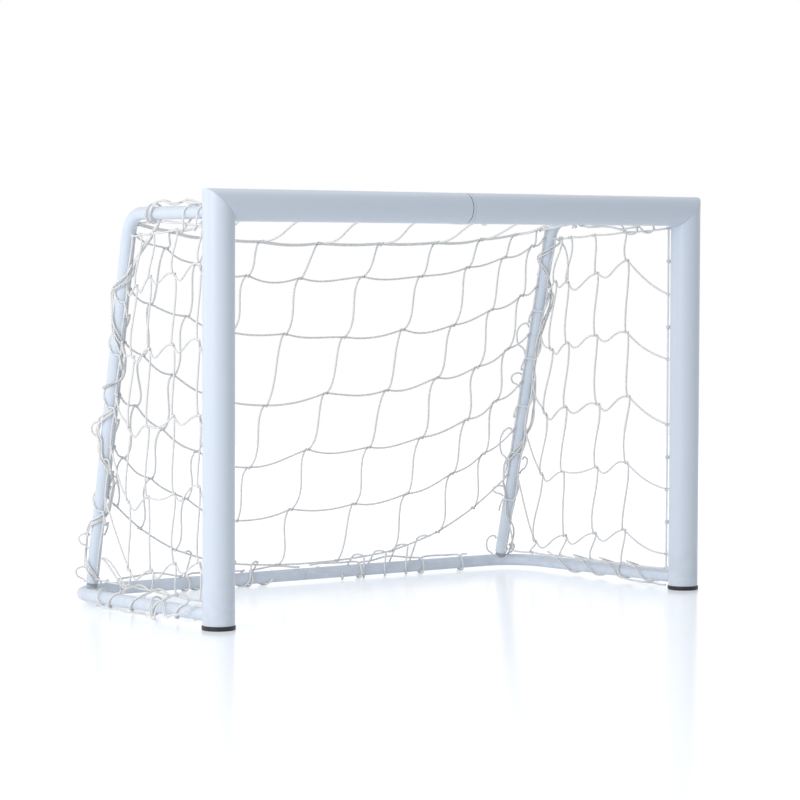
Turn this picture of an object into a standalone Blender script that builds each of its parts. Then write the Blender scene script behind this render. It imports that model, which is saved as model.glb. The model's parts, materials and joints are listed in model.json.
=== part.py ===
"""Mini soccer goal: a white tube frame that plugs together, with a knotted net.

Left and right are those of someone who stands in front of the goal and looks into it.
+X runs to the right, +Y to the back and +Z up. The origin lies on the ground, at the
middle of the goal's width and depth. All sizes are in metres.
"""

import math
import random

import bmesh
import bpy
from mathutils import Matrix, Vector

# Front frame
GOAL_WIDTH = 1.200              # over the outsides of the posts
GOAL_HEIGHT = 0.808             # ground to the top of the crossbar
FRAME_TUBE = 0.060              # outside diameter of posts and crossbar
FRAME_WALL = 0.0012
FRAME_SIDES = 24

# Rear frame
REAR_TUBE = 0.025               # outside diameter of the ground frame and the stanchions
REAR_WALL = 0.0012
REAR_SIDES = 16
GROUND_DEPTH = 0.5515           # post axis to rear bar axis
GROUND_BEND = 0.085             # radius of the ground frame's corners, at the tube's axis
SIDE_BAR_HEIGHT = 0.0240        # side bar's axis where it meets the post
TOP_DEPTH = 0.3775              # post plane to where top bar and stanchion would cross
TOP_BEND = 0.055
TOP_DROP = 0.012                # top bar's axis below the crossbar's axis
TOP_INSET = 0.041               # top bar's axis inward of the post's axis
FOOT_INSET = 0.051              # stanchion's foot inward of the post's axis
BEND_STEPS = 6
FOOT_GAP = 0.0022               # dark line between a stanchion's foot and the ground frame

# Joints between the tubes
SEAT_GAP = 0.0003               # between faces that touch
SLIDE_GAP = 0.0003              # round a tube that slides in another
SPIGOT_WALL = 0.0015
SPIGOT_REACH = 0.068            # how far a spigot reaches into its tube
FOOT_SPIGOT_REACH = 0.050
SLEEVE_REACH = 0.080            # crossbar sleeve, each side of its collar
REAR_SLEEVE_REACH = 0.060
COLLAR_WIDTH = 0.006            # flush ring that shows at a sleeve's middle

# Snap buttons
BUTTON_RADIUS = 0.0048          # on the crossbar
BUTTON_RISE = 0.0030
SMALL_BUTTON_RADIUS = 0.0038    # on the 25 mm tubes
SMALL_BUTTON_RISE = 0.0025
BUTTON_CLEARANCE = 0.0003
FLANGE_LIP = 0.0018             # flange beyond the button's shank
FLANGE_THICK = 0.0012
BUTTON_DOME = 0.0019            # height of the rounded end
BUTTON_DOME_ANGLES = (0, math.radians(35), math.radians(65))
BUTTON_SIDES = 12
CROSSBAR_BUTTON_X = 0.045
REAR_BUTTON_X = 0.035
BUTTON_FROM_END = 0.050         # from the tube's end to its button
LEAF_THICK = 0.0008
LEAF_WIDTH = 0.0060
LEAF_TIP = 0.0055               # leaf beyond the button's axis
LEAF_BEND = 0.0030              # radius of the fold between the two leaves
LEAF_BEND_STEPS = 4
CROSSBAR_LEAF_REACH = 0.055     # from the button's axis to the fold
LEAF_REACH = 0.026

# Foot caps
CAP_LIP = 0.0015                # flange beyond the post
CAP_THICK = 0.0080
CAP_EDGE = 0.0020               # rounding of the flange's lower edge
CAP_CHAMFER = 0.0008            # on the flange's upper edge
CAP_FLOOR = 0.0040              # under the hollow of the plug
CAP_PLUG = 0.024                # height of the plug inside the post
CAP_PLUG_WALL = 0.0025
CAP_LEAD = 0.0010               # taper at the plug's upper end
CAP_RIB = 0.0007                # ribs that grip the tube
CAP_RIB_HEIGHTS = (0.0085, 0.0180)  # above the flange

# Net
CORD_RADIUS = 0.0015
KNOT_HALF = 0.0020              # half the width of a knot
NET_COLUMNS = 10                # gaps across the back and the top
NET_ROWS = 6                    # gaps down the back and the sides
TOP_ROWS = 2
SIDE_COLUMNS = 5
EDGE_STANDOFF = 0.0165          # net's edge cord from the axis of the tube that it is laced to
COLUMN_SPREAD = 1.505           # half the slack net's own width, over half the width it hangs in
COLUMN_LEAN = 0.152             # the columns' way to the left over half the net's height, likewise
GATHER = 1.18                   # how fast slack columns crowd towards a stanchion; less is faster
ROW_GAP = 0.120                 # between the back's rows, at its middle
FREE_EDGE = 0.709               # height of the back's upper edge, at its middle
EDGE_RISE = 0.022               # upper edge's ends above the straight part of the stanchions
BACK_FOOT = 0.205               # height at which the back's lowest row meets the stanchions
ROW_CLIMB = 3                   # power by which a row climbs towards the stanchions
BACK_BILLOW = 0.012             # how far the back net stands out at its middle
SLACK_DIP = 0.042               # how much lower its lower rows hang at one place left of the middle
SLACK_SHARE = -0.39             # that place, as a share of the net's half width
SLACK_WIDTH = 0.22              # and how wide the dip is, likewise
SIDE_FIRST = {"left": 0.100, "right": 0.155}  # post's axis to the side net's first column
SIDE_COLUMN_GAP = 0.095
SIDE_GATHER = 0.10
SIDE_TOP_ROW = 0.672            # height of the side net's first row, at its first column
SIDE_ROW_GAP = 0.140
SIDE_DIP = 0.070                # how much lower the upper rows meet the post than their first column
SIDE_DROP = 0.050               # how much lower a row ends near the stanchion than it starts
SIDE_BILLOW = 0.010
TOP_SAG = 0.012
STRAND_SAG = 0.008              # droop of one strand between two knots
STRAND_BOW = 0.005              # sideways bow of an upright strand
KNOT_DRIFT = 0.006              # how far a knot strays from its even place
PANEL_SEAM = 0.0062             # top net's free edge in front of the back net's
PANEL_STEP = 0.0021             # and above it
SIDE_PANEL_DROP = 0.022         # side net's upper edge below the top bar's axis
NET_BOTTOM = 0.042              # height of the net's lower edge

# Lacing
LACE_GAP = 0.0006
LACE_SIDES = 4
BELT_SAMPLES = 360              # directions in which a turn's outline is looked up
GAP_SAMPLES = 4                 # points on each stretch of a cord whose gap is measured
GAP_SKIP = 0.009                # length of cord next to a point that its gap leaves out
TUBE_STEP = math.radians(50)    # at most this between a turn's points on the tube
EDGE_STEPS = 2                  # steps of a turn round an edge cord
EDGE_ARC = math.radians(120)    # about the share of a turn that lies on an edge cord
GROUND_TURNS = 4
TOP_TURNS = 2
REAR_TURNS = 4                  # on each half of the rear bar
LACE_TRIES = 20                 # places tried for each cord along its tube
LACE_FROM_POST = 0.030          # first turn's least distance from where a bar leaves its spigot
REAR_LACE_FROM = 0.050          # rear lacing, from the rear bar's middle
REAR_LACE_TO = 0.330
GROUND_FLAT = 0.0003            # flat worn under the rear lacing, where it stands on the ground

# Net hooks
HOOK_TURN = math.radians(40)    # a post's hooks sit between its back and its inner side
POST_HOOKS = 4                  # on each post
CROSSBAR_HOOKS = 3              # on each half of the crossbar
HOOK_BASE = 0.0020
HOOK_WALL = 0.0018
HOOK_BORE = 0.0027              # radius inside the hook
HOOK_LENGTH = 0.0070
HOOK_MOUTH = math.radians(80)
HOOK_STEPS = 6
CROSSBAR_HOOK_DROP = math.radians(20)

# Shading and cutting
SMOOTH_ANGLE = math.radians(35)
CUTTER_SIDES = 48

# What follows from the sizes above
FRAME_R = FRAME_TUBE / 2
REAR_R = REAR_TUBE / 2
SPIGOT_R = REAR_R - REAR_WALL - SLIDE_GAP
SLEEVE_R = FRAME_R - FRAME_WALL - SLIDE_GAP
CAP_R = FRAME_R + CAP_LIP
HALF_SPACING = GOAL_WIDTH / 2 - FRAME_R
CROSSBAR_Z = GOAL_HEIGHT - FRAME_R
TOP_BAR_Z = CROSSBAR_Z - TOP_DROP
LACE_PATH_R = (REAR_R + LACE_GAP + CORD_RADIUS) / math.cos(TUBE_STEP / 2)
KNOT_CORNER = KNOT_HALF * math.sqrt(2)
EDGE_PATH_R = (KNOT_CORNER + LACE_GAP + CORD_RADIUS) / math.cos(EDGE_ARC / EDGE_STEPS / 2)
REAR_BAR_Z = LACE_PATH_R + CORD_RADIUS - GROUND_FLAT
REAR_REACH = GROUND_DEPTH + LACE_PATH_R + CORD_RADIUS
POST_Y = (CAP_R - REAR_REACH) / 2
REAR_Y = POST_Y + GROUND_DEPTH
HOOK_STANDOFF = SEAT_GAP + HOOK_BASE + HOOK_BORE

SIDES = {"left": -1, "right": 1}

COLOURS = {
    "frame_white": ((0.74, 0.78, 0.84, 1), 0.32, 0.0),
    "cap_black": ((0.018, 0.021, 0.026, 1), 0.45, 0.0),
    "cord_white": ((0.80, 0.80, 0.77, 1), 0.85, 0.0),
    "hook_plastic": ((0.70, 0.72, 0.74, 1), 0.50, 0.0),
    "spring_steel": ((0.52, 0.53, 0.55, 1), 0.30, 1.0),
    "button_steel": ((0.66, 0.67, 0.69, 1), 0.22, 1.0),
}


# Scene and materials

def clear_scene():
    for old in list(bpy.data.objects):
        bpy.data.objects.remove(old, do_unlink=True)


def material(name):
    """The Principled material of that name, made when it is first asked for."""
    found = bpy.data.materials.get(name)
    if found:
        return found
    colour, roughness, metallic = COLOURS[name]
    made = bpy.data.materials.new(name)
    made.use_nodes = True
    made.diffuse_color = colour
    shader = made.node_tree.nodes["Principled BSDF"]
    shader.inputs["Base Color"].default_value = colour
    shader.inputs["Roughness"].default_value = roughness
    shader.inputs["Metallic"].default_value = metallic
    return made


def finish(bm, name, slot, origin=None):
    """Turns a bmesh into an object with its origin where it is asked for."""
    bmesh.ops.recalc_face_normals(bm, faces=bm.faces)
    if origin is not None:
        bmesh.ops.translate(bm, verts=bm.verts, vec=-origin)
    mesh = bpy.data.meshes.new(name)
    bm.to_mesh(mesh)
    bm.free()
    mesh.shade_smooth()
    mesh.set_sharp_from_angle(angle=SMOOTH_ANGLE)
    mesh.materials.append(material(slot))
    obj = bpy.data.objects.new(name, mesh)
    if origin is not None:
        obj.location = origin
    bpy.context.scene.collection.objects.link(obj)
    return obj


# Rings and tubes

def add_ring(bm, centre, u, v, radius, sides):
    ring = []
    for k in range(sides):
        angle = 2 * math.pi * k / sides
        ring.append(bm.verts.new(centre + u * (radius * math.cos(angle)) + v * (radius * math.sin(angle))))
    return ring


def join_rings(bm, first, second):
    count = len(first)
    for k in range(count):
        n = (k + 1) % count
        bm.faces.new((first[k], first[n], second[n], second[k]))


def add_tube(bm, stations, outer, inner, sides):
    """A tube through stations of (centre, u, v), hollow unless inner is 0."""
    outside = [add_ring(bm, c, u, v, outer, sides) for c, u, v in stations]
    for a, b in zip(outside, outside[1:]):
        join_rings(bm, a, b)
    if not inner:
        bm.faces.new(outside[0])
        bm.faces.new(outside[-1])
        return
    inside = [add_ring(bm, c, u, v, inner, sides) for c, u, v in stations]
    for a, b in zip(inside, inside[1:]):
        join_rings(bm, a, b)
    join_rings(bm, outside[0], inside[0])
    join_rings(bm, outside[-1], inside[-1])


def tube(name, stations, outer, inner, sides, slot):
    bm = bmesh.new()
    add_tube(bm, stations, outer, inner, sides)
    return finish(bm, name, slot)


def planar_stations(points, normal):
    """Stations along points that lie in one plane, square to the path at each point."""
    normal = normal.normalized()
    stations = []
    for k, point in enumerate(points):
        before = points[max(k - 1, 0)]
        after = points[min(k + 1, len(points) - 1)]
        along = (point - before).normalized() + (after - point).normalized()
        along.normalize()
        stations.append((point, normal.cross(along), normal))
    return stations


def bent_path(start, corner, end, radius, steps):
    """Start to end by way of a corner that is rounded by an arc of the given radius."""
    into = (corner - start).normalized()
    out = (end - corner).normalized()
    turn = into.angle(out)
    setback = radius * math.tan(turn / 2)
    middle = (out - into).normalized()
    centre = corner + middle * (radius / math.cos(turn / 2))
    spoke = (corner - into * setback) - centre
    axis = into.cross(out).normalized()
    arc = [centre + Matrix.Rotation(turn * k / steps, 3, axis) @ spoke for k in range(steps + 1)]
    return [start] + arc + [end]


def revolve(bm, profile, sides, place, closed):
    """Turns (radius, height) points about the local Z axis and places the result."""
    u = place.to_3x3() @ Vector((1, 0, 0))
    v = place.to_3x3() @ Vector((0, 1, 0))
    rings = []
    for radius, height in profile:
        rings.append(add_ring(bm, place @ Vector((0, 0, height)), u, v, radius, sides))
    for a, b in zip(rings, rings[1:]):
        join_rings(bm, a, b)
    if closed:
        join_rings(bm, rings[-1], rings[0])
    else:
        bm.faces.new(rings[0])
        bm.faces.new(rings[-1])


def turned(name, profile, sides, place, slot, closed=False):
    bm = bmesh.new()
    revolve(bm, profile, sides, Matrix.Identity(4), closed)
    obj = finish(bm, name, slot)
    obj.matrix_world = place
    return obj


# Cutting

def rod_cutter(name, start, end, radius, sides):
    """A solid rod that only cuts, and is left out of the model."""
    along = (end - start).normalized()
    side = along.orthogonal().normalized()
    bm = bmesh.new()
    add_tube(bm, [(start, side, along.cross(side)), (end, side, along.cross(side))], radius, 0, sides)
    return as_cutter(finish(bm, name, "frame_white"))


def as_cutter(obj):
    obj.hide_render = True
    obj.display_type = "WIRE"
    return obj


def cut(obj, cutter):
    step = obj.modifiers.new("cut " + cutter.name, "BOOLEAN")
    step.operation = "DIFFERENCE"
    step.solver = "EXACT"
    step.object = cutter


# Where the axes of the frame run

def post_axis(side):
    return Vector((side * HALF_SPACING, POST_Y, 0))


def ground_corner(side):
    return Vector((side * HALF_SPACING, REAR_Y, REAR_BAR_Z))


def side_bar_start(side):
    """Where the side bar's square end meets the back of the post."""
    point = post_axis(side)
    return Vector((point.x, point.y + FRAME_R + SEAT_GAP, SIDE_BAR_HEIGHT))


def ground_path(side):
    end = Vector((side * (COLLAR_WIDTH / 2 + SEAT_GAP), REAR_Y, REAR_BAR_Z))
    return bent_path(side_bar_start(side), ground_corner(side), end, GROUND_BEND, BEND_STEPS)


def ground_normal(side):
    slope = ground_corner(side) - side_bar_start(side)
    return Vector((1, 0, 0)).cross(slope).normalized()


def foot_point(side):
    """Where the stanchion's axis meets the axis of the ground frame's bend."""
    short = max(GROUND_BEND - FOOT_INSET, 0)
    back = GROUND_BEND - math.sqrt(GROUND_BEND ** 2 - short ** 2)
    return Vector((side * (HALF_SPACING - FOOT_INSET), REAR_Y - back, REAR_BAR_Z))


def top_corner(side):
    return Vector((side * (HALF_SPACING - TOP_INSET), POST_Y + TOP_DEPTH, TOP_BAR_Z))


def top_bar_start(side):
    return Vector((side * (HALF_SPACING - TOP_INSET), POST_Y + FRAME_R + SEAT_GAP, TOP_BAR_Z))


def stanchion_end(side):
    """The foot's square end, clear of the ground frame by the foot gap."""
    up = (top_corner(side) - foot_point(side)).normalized()
    lean = math.sqrt(1 - up.z ** 2)
    return foot_point(side) + up * (REAR_R / up.z + REAR_R * lean / up.z + FOOT_GAP)


def stanchion_point(side, height):
    """The point of the stanchion's straight part at a height above the ground."""
    top = stanchion_top(side)
    return top.lerp(stanchion_end(side), (top.z - height) / (top.z - stanchion_end(side).z))


def stanchion_top(side):
    """Where the stanchion's straight part starts, below the bend."""
    down = (stanchion_end(side) - top_corner(side)).normalized()
    turn = Vector((0, 1, 0)).angle(down)
    return top_corner(side) + down * (TOP_BEND * math.tan(turn / 2))


# Front frame

def make_posts():
    """Posts with a mitred upper end, each a plain tube down to its foot cap."""
    mitre_gap = SEAT_GAP / math.sqrt(2)
    for side_name, side in SIDES.items():
        foot = post_axis(side)
        foot.z = CAP_THICK + SEAT_GAP
        head = post_axis(side)
        head.z = CROSSBAR_Z - mitre_gap
        y_axis = Vector((0, 1, 0))
        stations = [
            (foot, Vector((1, 0, 0)), y_axis),
            (head, Vector((1, 0, side)), y_axis),
        ]
        tube(side_name + "_post", stations, FRAME_R, FRAME_R - FRAME_WALL, FRAME_SIDES, "frame_white")


def make_crossbar():
    """Two halves that meet at the sleeve's collar; the right one carries the button's hole."""
    mitre_gap = SEAT_GAP / math.sqrt(2)
    inner_x = COLLAR_WIDTH / 2 + SEAT_GAP
    for side_name, side in SIDES.items():
        corner = post_axis(side)
        corner.z = CROSSBAR_Z
        corner.x -= side * mitre_gap
        middle = Vector((side * inner_x, POST_Y, CROSSBAR_Z))
        y_axis = Vector((0, 1, 0))
        stations = [
            (corner, y_axis, Vector((side, 0, 1))),
            (middle, y_axis, Vector((0, 0, 1))),
        ]
        bore = FRAME_R - FRAME_WALL
        bar = tube(side_name + "_crossbar", stations, FRAME_R, bore, FRAME_SIDES, "frame_white")
        if side > 0:
            cut(bar, crossbar_hole_cutter())


def crossbar_hole_cutter():
    found = bpy.data.objects.get("crossbar_hole_cutter")
    if found:
        return found
    start = Vector((CROSSBAR_BUTTON_X, POST_Y, CROSSBAR_Z - SLEEVE_R / 2))
    end = Vector((CROSSBAR_BUTTON_X, POST_Y, CROSSBAR_Z - 2 * FRAME_R))
    return rod_cutter("crossbar_hole_cutter", start, end, BUTTON_RADIUS + BUTTON_CLEARANCE, BUTTON_SIDES)


def sleeve_profile(outer, wall, collar, reach):
    """Closed profile of a sleeve with a flush collar round its middle."""
    inner = outer - wall
    half = COLLAR_WIDTH / 2
    return [
        (inner, -half - reach),
        (outer, -half - reach),
        (outer, -half),
        (collar, -half),
        (collar, half),
        (outer, half),
        (outer, half + reach),
        (inner, half + reach),
    ]


def along_x(centre):
    return Matrix.Translation(centre) @ Matrix.Rotation(math.pi / 2, 4, "Y")


def make_crossbar_sleeve():
    profile = sleeve_profile(SLEEVE_R, SPIGOT_WALL, FRAME_R, SLEEVE_REACH)
    place = along_x(Vector((0, POST_Y, CROSSBAR_Z)))
    sleeve = turned("crossbar_sleeve", profile, FRAME_SIDES, place, "frame_white", closed=True)
    cut(sleeve, crossbar_hole_cutter())


def make_foot_caps():
    """Black plugs with a rounded flange that the goal stands on."""
    plug = FRAME_R - FRAME_WALL - SLIDE_GAP - CAP_RIB
    top = CAP_THICK + CAP_PLUG
    corner = CAP_EDGE * (1 - math.cos(math.pi / 4))
    profile = [
        (CAP_R - CAP_EDGE, 0),
        (CAP_R - corner, corner),
        (CAP_R, CAP_EDGE),
        (CAP_R, CAP_THICK - CAP_CHAMFER),
        (CAP_R - CAP_CHAMFER, CAP_THICK),
        (plug, CAP_THICK),
    ]
    for height in CAP_RIB_HEIGHTS:
        level = CAP_THICK + height
        profile += [(plug, level - CAP_RIB), (plug + CAP_RIB, level), (plug, level + CAP_RIB)]
    profile += [
        (plug, top - CAP_LEAD),
        (plug - CAP_LEAD, top),
        (plug - CAP_PLUG_WALL, top),
        (plug - CAP_PLUG_WALL, CAP_FLOOR),
    ]
    for side_name, side in SIDES.items():
        place = Matrix.Translation(post_axis(side))
        turned(side_name + "_foot_cap", profile, FRAME_SIDES, place, "cap_black")


# Rear frame

def make_ground_frame():
    """Each half is a side bar, a bend and half of the rear bar, bent from one tube."""
    for side_name, side in SIDES.items():
        path = ground_path(side)
        stations = planar_stations(path, ground_normal(side))
        bar = tube(side_name + "_ground_bar", stations, REAR_R, REAR_R - REAR_WALL, REAR_SIDES, "frame_white")
        cut(bar, ground_hole_cutter(side_name, side))
        if side > 0:
            cut(bar, rear_hole_cutter())


def ground_button_point(side):
    start = side_bar_start(side)
    along = (ground_corner(side) - start).normalized()
    return start + along * BUTTON_FROM_END


def small_hole_cutter(name, point, down):
    """Cuts one wall of a 25 mm tube and its spigot, below the axis or above it."""
    found = bpy.data.objects.get(name)
    if found:
        return found
    start = point + down * (SPIGOT_R / 2)
    end = point + down * (2 * REAR_R)
    return rod_cutter(name, start, end, SMALL_BUTTON_RADIUS + BUTTON_CLEARANCE, BUTTON_SIDES)


def ground_hole_cutter(side_name, side):
    return small_hole_cutter(side_name + "_ground_hole_cutter", ground_button_point(side), Vector((0, 0, -1)))


def rear_button_point():
    return Vector((REAR_BUTTON_X, REAR_Y, REAR_BAR_Z))


def rear_hole_cutter():
    return small_hole_cutter("rear_hole_cutter", rear_button_point(), Vector((0, 0, 1)))


def make_rear_sleeve():
    profile = sleeve_profile(SPIGOT_R, SPIGOT_WALL, REAR_R, REAR_SLEEVE_REACH)
    place = along_x(Vector((0, REAR_Y, REAR_BAR_Z)))
    sleeve = turned("rear_bar_sleeve", profile, REAR_SIDES, place, "frame_white", closed=True)
    cut(sleeve, rear_hole_cutter())


def top_button_point(side):
    return top_bar_start(side) + Vector((0, BUTTON_FROM_END, 0))


def top_hole_cutter(side_name, side):
    return small_hole_cutter(side_name + "_top_hole_cutter", top_button_point(side), Vector((0, 0, -1)))


def make_stanchions():
    """Each is a top bar, a bend and a leaning upright, bent from one tube."""
    for side_name, side in SIDES.items():
        path = bent_path(top_bar_start(side), top_corner(side), stanchion_end(side), TOP_BEND, BEND_STEPS)
        normal = Vector((0, 1, 0)).cross(stanchion_end(side) - top_corner(side))
        stations = planar_stations(path, normal)
        bar = tube(side_name + "_stanchion", stations, REAR_R, REAR_R - REAR_WALL, REAR_SIDES, "frame_white")
        cut(bar, top_hole_cutter(side_name, side))


def straight_spigot(name, start, end):
    along = (end - start).normalized()
    side = Vector((1, 0, 0))
    stations = [(start, side, along.cross(side)), (end, side, along.cross(side))]
    return tube(name, stations, SPIGOT_R, SPIGOT_R - SPIGOT_WALL, REAR_SIDES, "frame_white")


def make_spigots():
    """Stubs welded to the posts, the crossbar and the ground frame, each cut to what it sits on."""
    saddle = FRAME_R + SEAT_GAP
    for side_name, side in SIDES.items():
        foot = post_axis(side)
        head = foot + Vector((0, 0, CROSSBAR_Z))
        post_cutter = rod_cutter(side_name + "_post_cutter", foot, head, saddle, CUTTER_SIDES)
        start = side_bar_start(side)
        along = (ground_corner(side) - start).normalized()
        spigot = straight_spigot(side_name + "_ground_spigot", start - along * (FRAME_R / 2),
                                 start + along * SPIGOT_REACH)
        cut(spigot, post_cutter)
        cut(spigot, ground_hole_cutter(side_name, side))

        bar_end = Vector((side * HALF_SPACING, POST_Y, CROSSBAR_Z))
        bar_middle = Vector((side * HALF_SPACING / 2, POST_Y, CROSSBAR_Z))
        bar_cutter = rod_cutter(side_name + "_crossbar_cutter", bar_end, bar_middle, saddle, CUTTER_SIDES)
        start = top_bar_start(side)
        spigot = straight_spigot(side_name + "_top_spigot", start - Vector((0, FRAME_R / 2, 0)),
                                 start + Vector((0, SPIGOT_REACH, 0)))
        cut(spigot, bar_cutter)
        cut(spigot, top_hole_cutter(side_name, side))

        bm = bmesh.new()
        stations = planar_stations(ground_path(side), ground_normal(side))
        add_tube(bm, stations, (REAR_R + SEAT_GAP) / math.cos(math.pi / REAR_SIDES), 0, REAR_SIDES)
        bend_cutter = as_cutter(finish(bm, side_name + "_bend_cutter", "frame_white"))
        up = (top_corner(side) - foot_point(side)).normalized()
        spigot = straight_spigot(side_name + "_foot_spigot", foot_point(side) + up * (REAR_R / 2),
                                 stanchion_end(side) + up * FOOT_SPIGOT_REACH)
        cut(spigot, bend_cutter)


# Snap buttons and their springs

def sagitta(radius, half_width):
    """How far a flat of that half width stands off the top of a round bore."""
    return radius - math.sqrt(radius ** 2 - half_width ** 2)


def make_button(name, point, down, tube_r, bore_r, radius, rise):
    """A domed button whose flange bears on the bore of its spigot, and whose axis is down."""
    flange_r = radius + FLANGE_LIP
    flange_top = bore_r - sagitta(bore_r, flange_r) - SEAT_GAP
    length = tube_r + rise
    profile = [
        (flange_r, flange_top - FLANGE_THICK),
        (flange_r, flange_top),
        (radius, flange_top),
    ]
    for angle in BUTTON_DOME_ANGLES:
        rise = BUTTON_DOME * math.sin(angle) / math.sin(BUTTON_DOME_ANGLES[-1])
        profile.append((radius * math.cos(angle), length - BUTTON_DOME + rise))
    place = Matrix.Translation(point)
    if down.z < 0:
        place = place @ Matrix.Rotation(math.pi, 4, "X")
    turned(name, profile, BUTTON_SIDES, place, "button_steel")
    return flange_top - FLANGE_THICK


def strip(name, centres, thickness, width, across, slot):
    """A bent leaf of constant thickness along centre points that lie in one plane."""
    bm = bmesh.new()
    rings = []
    for k, point in enumerate(centres):
        before = centres[max(k - 1, 0)]
        after = centres[min(k + 1, len(centres) - 1)]
        along = ((point - before).normalized() + (after - point).normalized()).normalized()
        off = along.cross(across).normalized() * (thickness / 2)
        wide = across * (width / 2)
        offsets = (off + wide, off - wide, -off - wide, -off + wide)
        rings.append([bm.verts.new(point + offset) for offset in offsets])
    for a, b in zip(rings, rings[1:]):
        join_rings(bm, a, b)
    bm.faces.new(rings[0])
    bm.faces.new(rings[-1])
    return finish(bm, name, slot)


def make_leaf(name, point, down, along, under, bore_r, reach):
    """A V of spring steel: one leaf under the button, the other on the far side of the bore."""
    near = under - SEAT_GAP - LEAF_THICK / 2
    far = -(bore_r - sagitta(bore_r, LEAF_WIDTH / 2) - SEAT_GAP - LEAF_THICK / 2)
    middle = (near + far) / 2
    heights = [(-LEAF_TIP, near), (LEAF_TIP, near)]
    for k in range(LEAF_BEND_STEPS + 1):
        angle = math.pi / 2 - math.pi * k / LEAF_BEND_STEPS
        heights.append((reach + LEAF_BEND * math.cos(angle), middle + LEAF_BEND * math.sin(angle)))
    heights += [(LEAF_TIP, far), (-LEAF_TIP, far)]
    centres = [point + along * run + down * height for run, height in heights]
    across = along.cross(down).normalized()
    strip(name, centres, LEAF_THICK, LEAF_WIDTH, across, "spring_steel")


def make_buttons():
    below = Vector((0, 0, -1))
    above = Vector((0, 0, 1))
    x_axis = Vector((1, 0, 0))
    bore = SLEEVE_R - SPIGOT_WALL
    point = Vector((CROSSBAR_BUTTON_X, POST_Y, CROSSBAR_Z))
    under = make_button("crossbar_button", point, below, FRAME_R, bore, BUTTON_RADIUS, BUTTON_RISE)
    make_leaf("crossbar_button_spring", point, below, -x_axis, under, bore, CROSSBAR_LEAF_REACH)
    bore = SPIGOT_R - SPIGOT_WALL
    small = (REAR_R, bore, SMALL_BUTTON_RADIUS, SMALL_BUTTON_RISE)
    under = make_button("rear_bar_button", rear_button_point(), above, *small)
    make_leaf("rear_bar_button_spring", rear_button_point(), above, -x_axis, under, bore, LEAF_REACH)
    for side_name, side in SIDES.items():
        slope = (ground_corner(side) - side_bar_start(side)).normalized()
        under = make_button(side_name + "_ground_button", ground_button_point(side), below, *small)
        point = ground_button_point(side)
        make_leaf(side_name + "_ground_button_spring", point, below, -slope, under, bore, LEAF_REACH)
        point = top_button_point(side)
        under = make_button(side_name + "_top_button", point, below, *small)
        make_leaf(side_name + "_top_button_spring", point, below, Vector((0, -1, 0)), under, bore, LEAF_REACH)


# Where the net's edges run

def stanchion_line(side, offset, height):
    """A point beside the stanchion's straight part, or beside where that part would run on."""
    top = stanchion_top(side) + offset
    end = stanchion_end(side) + offset
    return top.lerp(end, (top.z - height) / (top.z - end.z))


def back_edge(side, height):
    """A point of the back net's edge cord, on the inner side of a stanchion."""
    return stanchion_line(side, Vector((-side * EDGE_STANDOFF, 0, 0)), height)


def side_rear_edge(side, height):
    """A point of the side net's edge cord, in front of a stanchion."""
    down = (stanchion_end(side) - stanchion_top(side)).normalized()
    forward = Vector((0, -1, 0))
    forward -= down * forward.dot(down)
    return stanchion_line(side, forward.normalized() * EDGE_STANDOFF, height)


def edge_height(k):
    """Height of the k-th of the knots that are spaced evenly down a stanchion."""
    top = stanchion_top(1).z
    return top + (BACK_FOOT - top) * k / (NET_ROWS - 1)


def post_hook_direction(side):
    return Vector((-side * math.sin(HOOK_TURN), math.cos(HOOK_TURN), 0))


def side_front_edge(side, height):
    """A point of the side net's edge cord along the post, held by the post's hooks."""
    point = post_axis(side) + post_hook_direction(side) * (FRAME_R + HOOK_STANDOFF)
    point.z = height
    return point


def crossbar_hook_direction():
    return Vector((0, math.cos(CROSSBAR_HOOK_DROP), -math.sin(CROSSBAR_HOOK_DROP)))


def top_front_edge(side):
    """End of the top net's front edge, held by the crossbar's hooks."""
    point = Vector((0, POST_Y, CROSSBAR_Z)) + crossbar_hook_direction() * (FRAME_R + HOOK_STANDOFF)
    point.x = side * (HALF_SPACING - TOP_INSET - EDGE_STANDOFF)
    return point


def top_side_edge(side, share):
    """Top net's edge beside the top bar; share runs from the crossbar to the free edge."""
    front = top_front_edge(side)
    rear = back_knot(NET_COLUMNS if side > 0 else 0, 0) + seam_offset()
    bar_share = (TOP_ROWS - 1) / TOP_ROWS
    bar_end = Vector((front.x, front.y + (rear.y - front.y) * bar_share, TOP_BAR_Z))
    if share <= bar_share:
        return front.lerp(bar_end, share / bar_share)
    return bar_end.lerp(rear, (share - bar_share) / (1 - bar_share))


def seam_offset():
    return Vector((0, -PANEL_SEAM, PANEL_STEP))


# Net panels

def hump(share):
    """0 at both ends of a run and 1 at its middle."""
    return 4 * share * (1 - share)


def gathered(place, limit, gather):
    """Crowds places towards a limit that they never reach, as slack net does beside a tube."""
    free = limit - gather
    if place <= free:
        return place
    return free + gather * (1 - math.exp((free - place) / gather))


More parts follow.
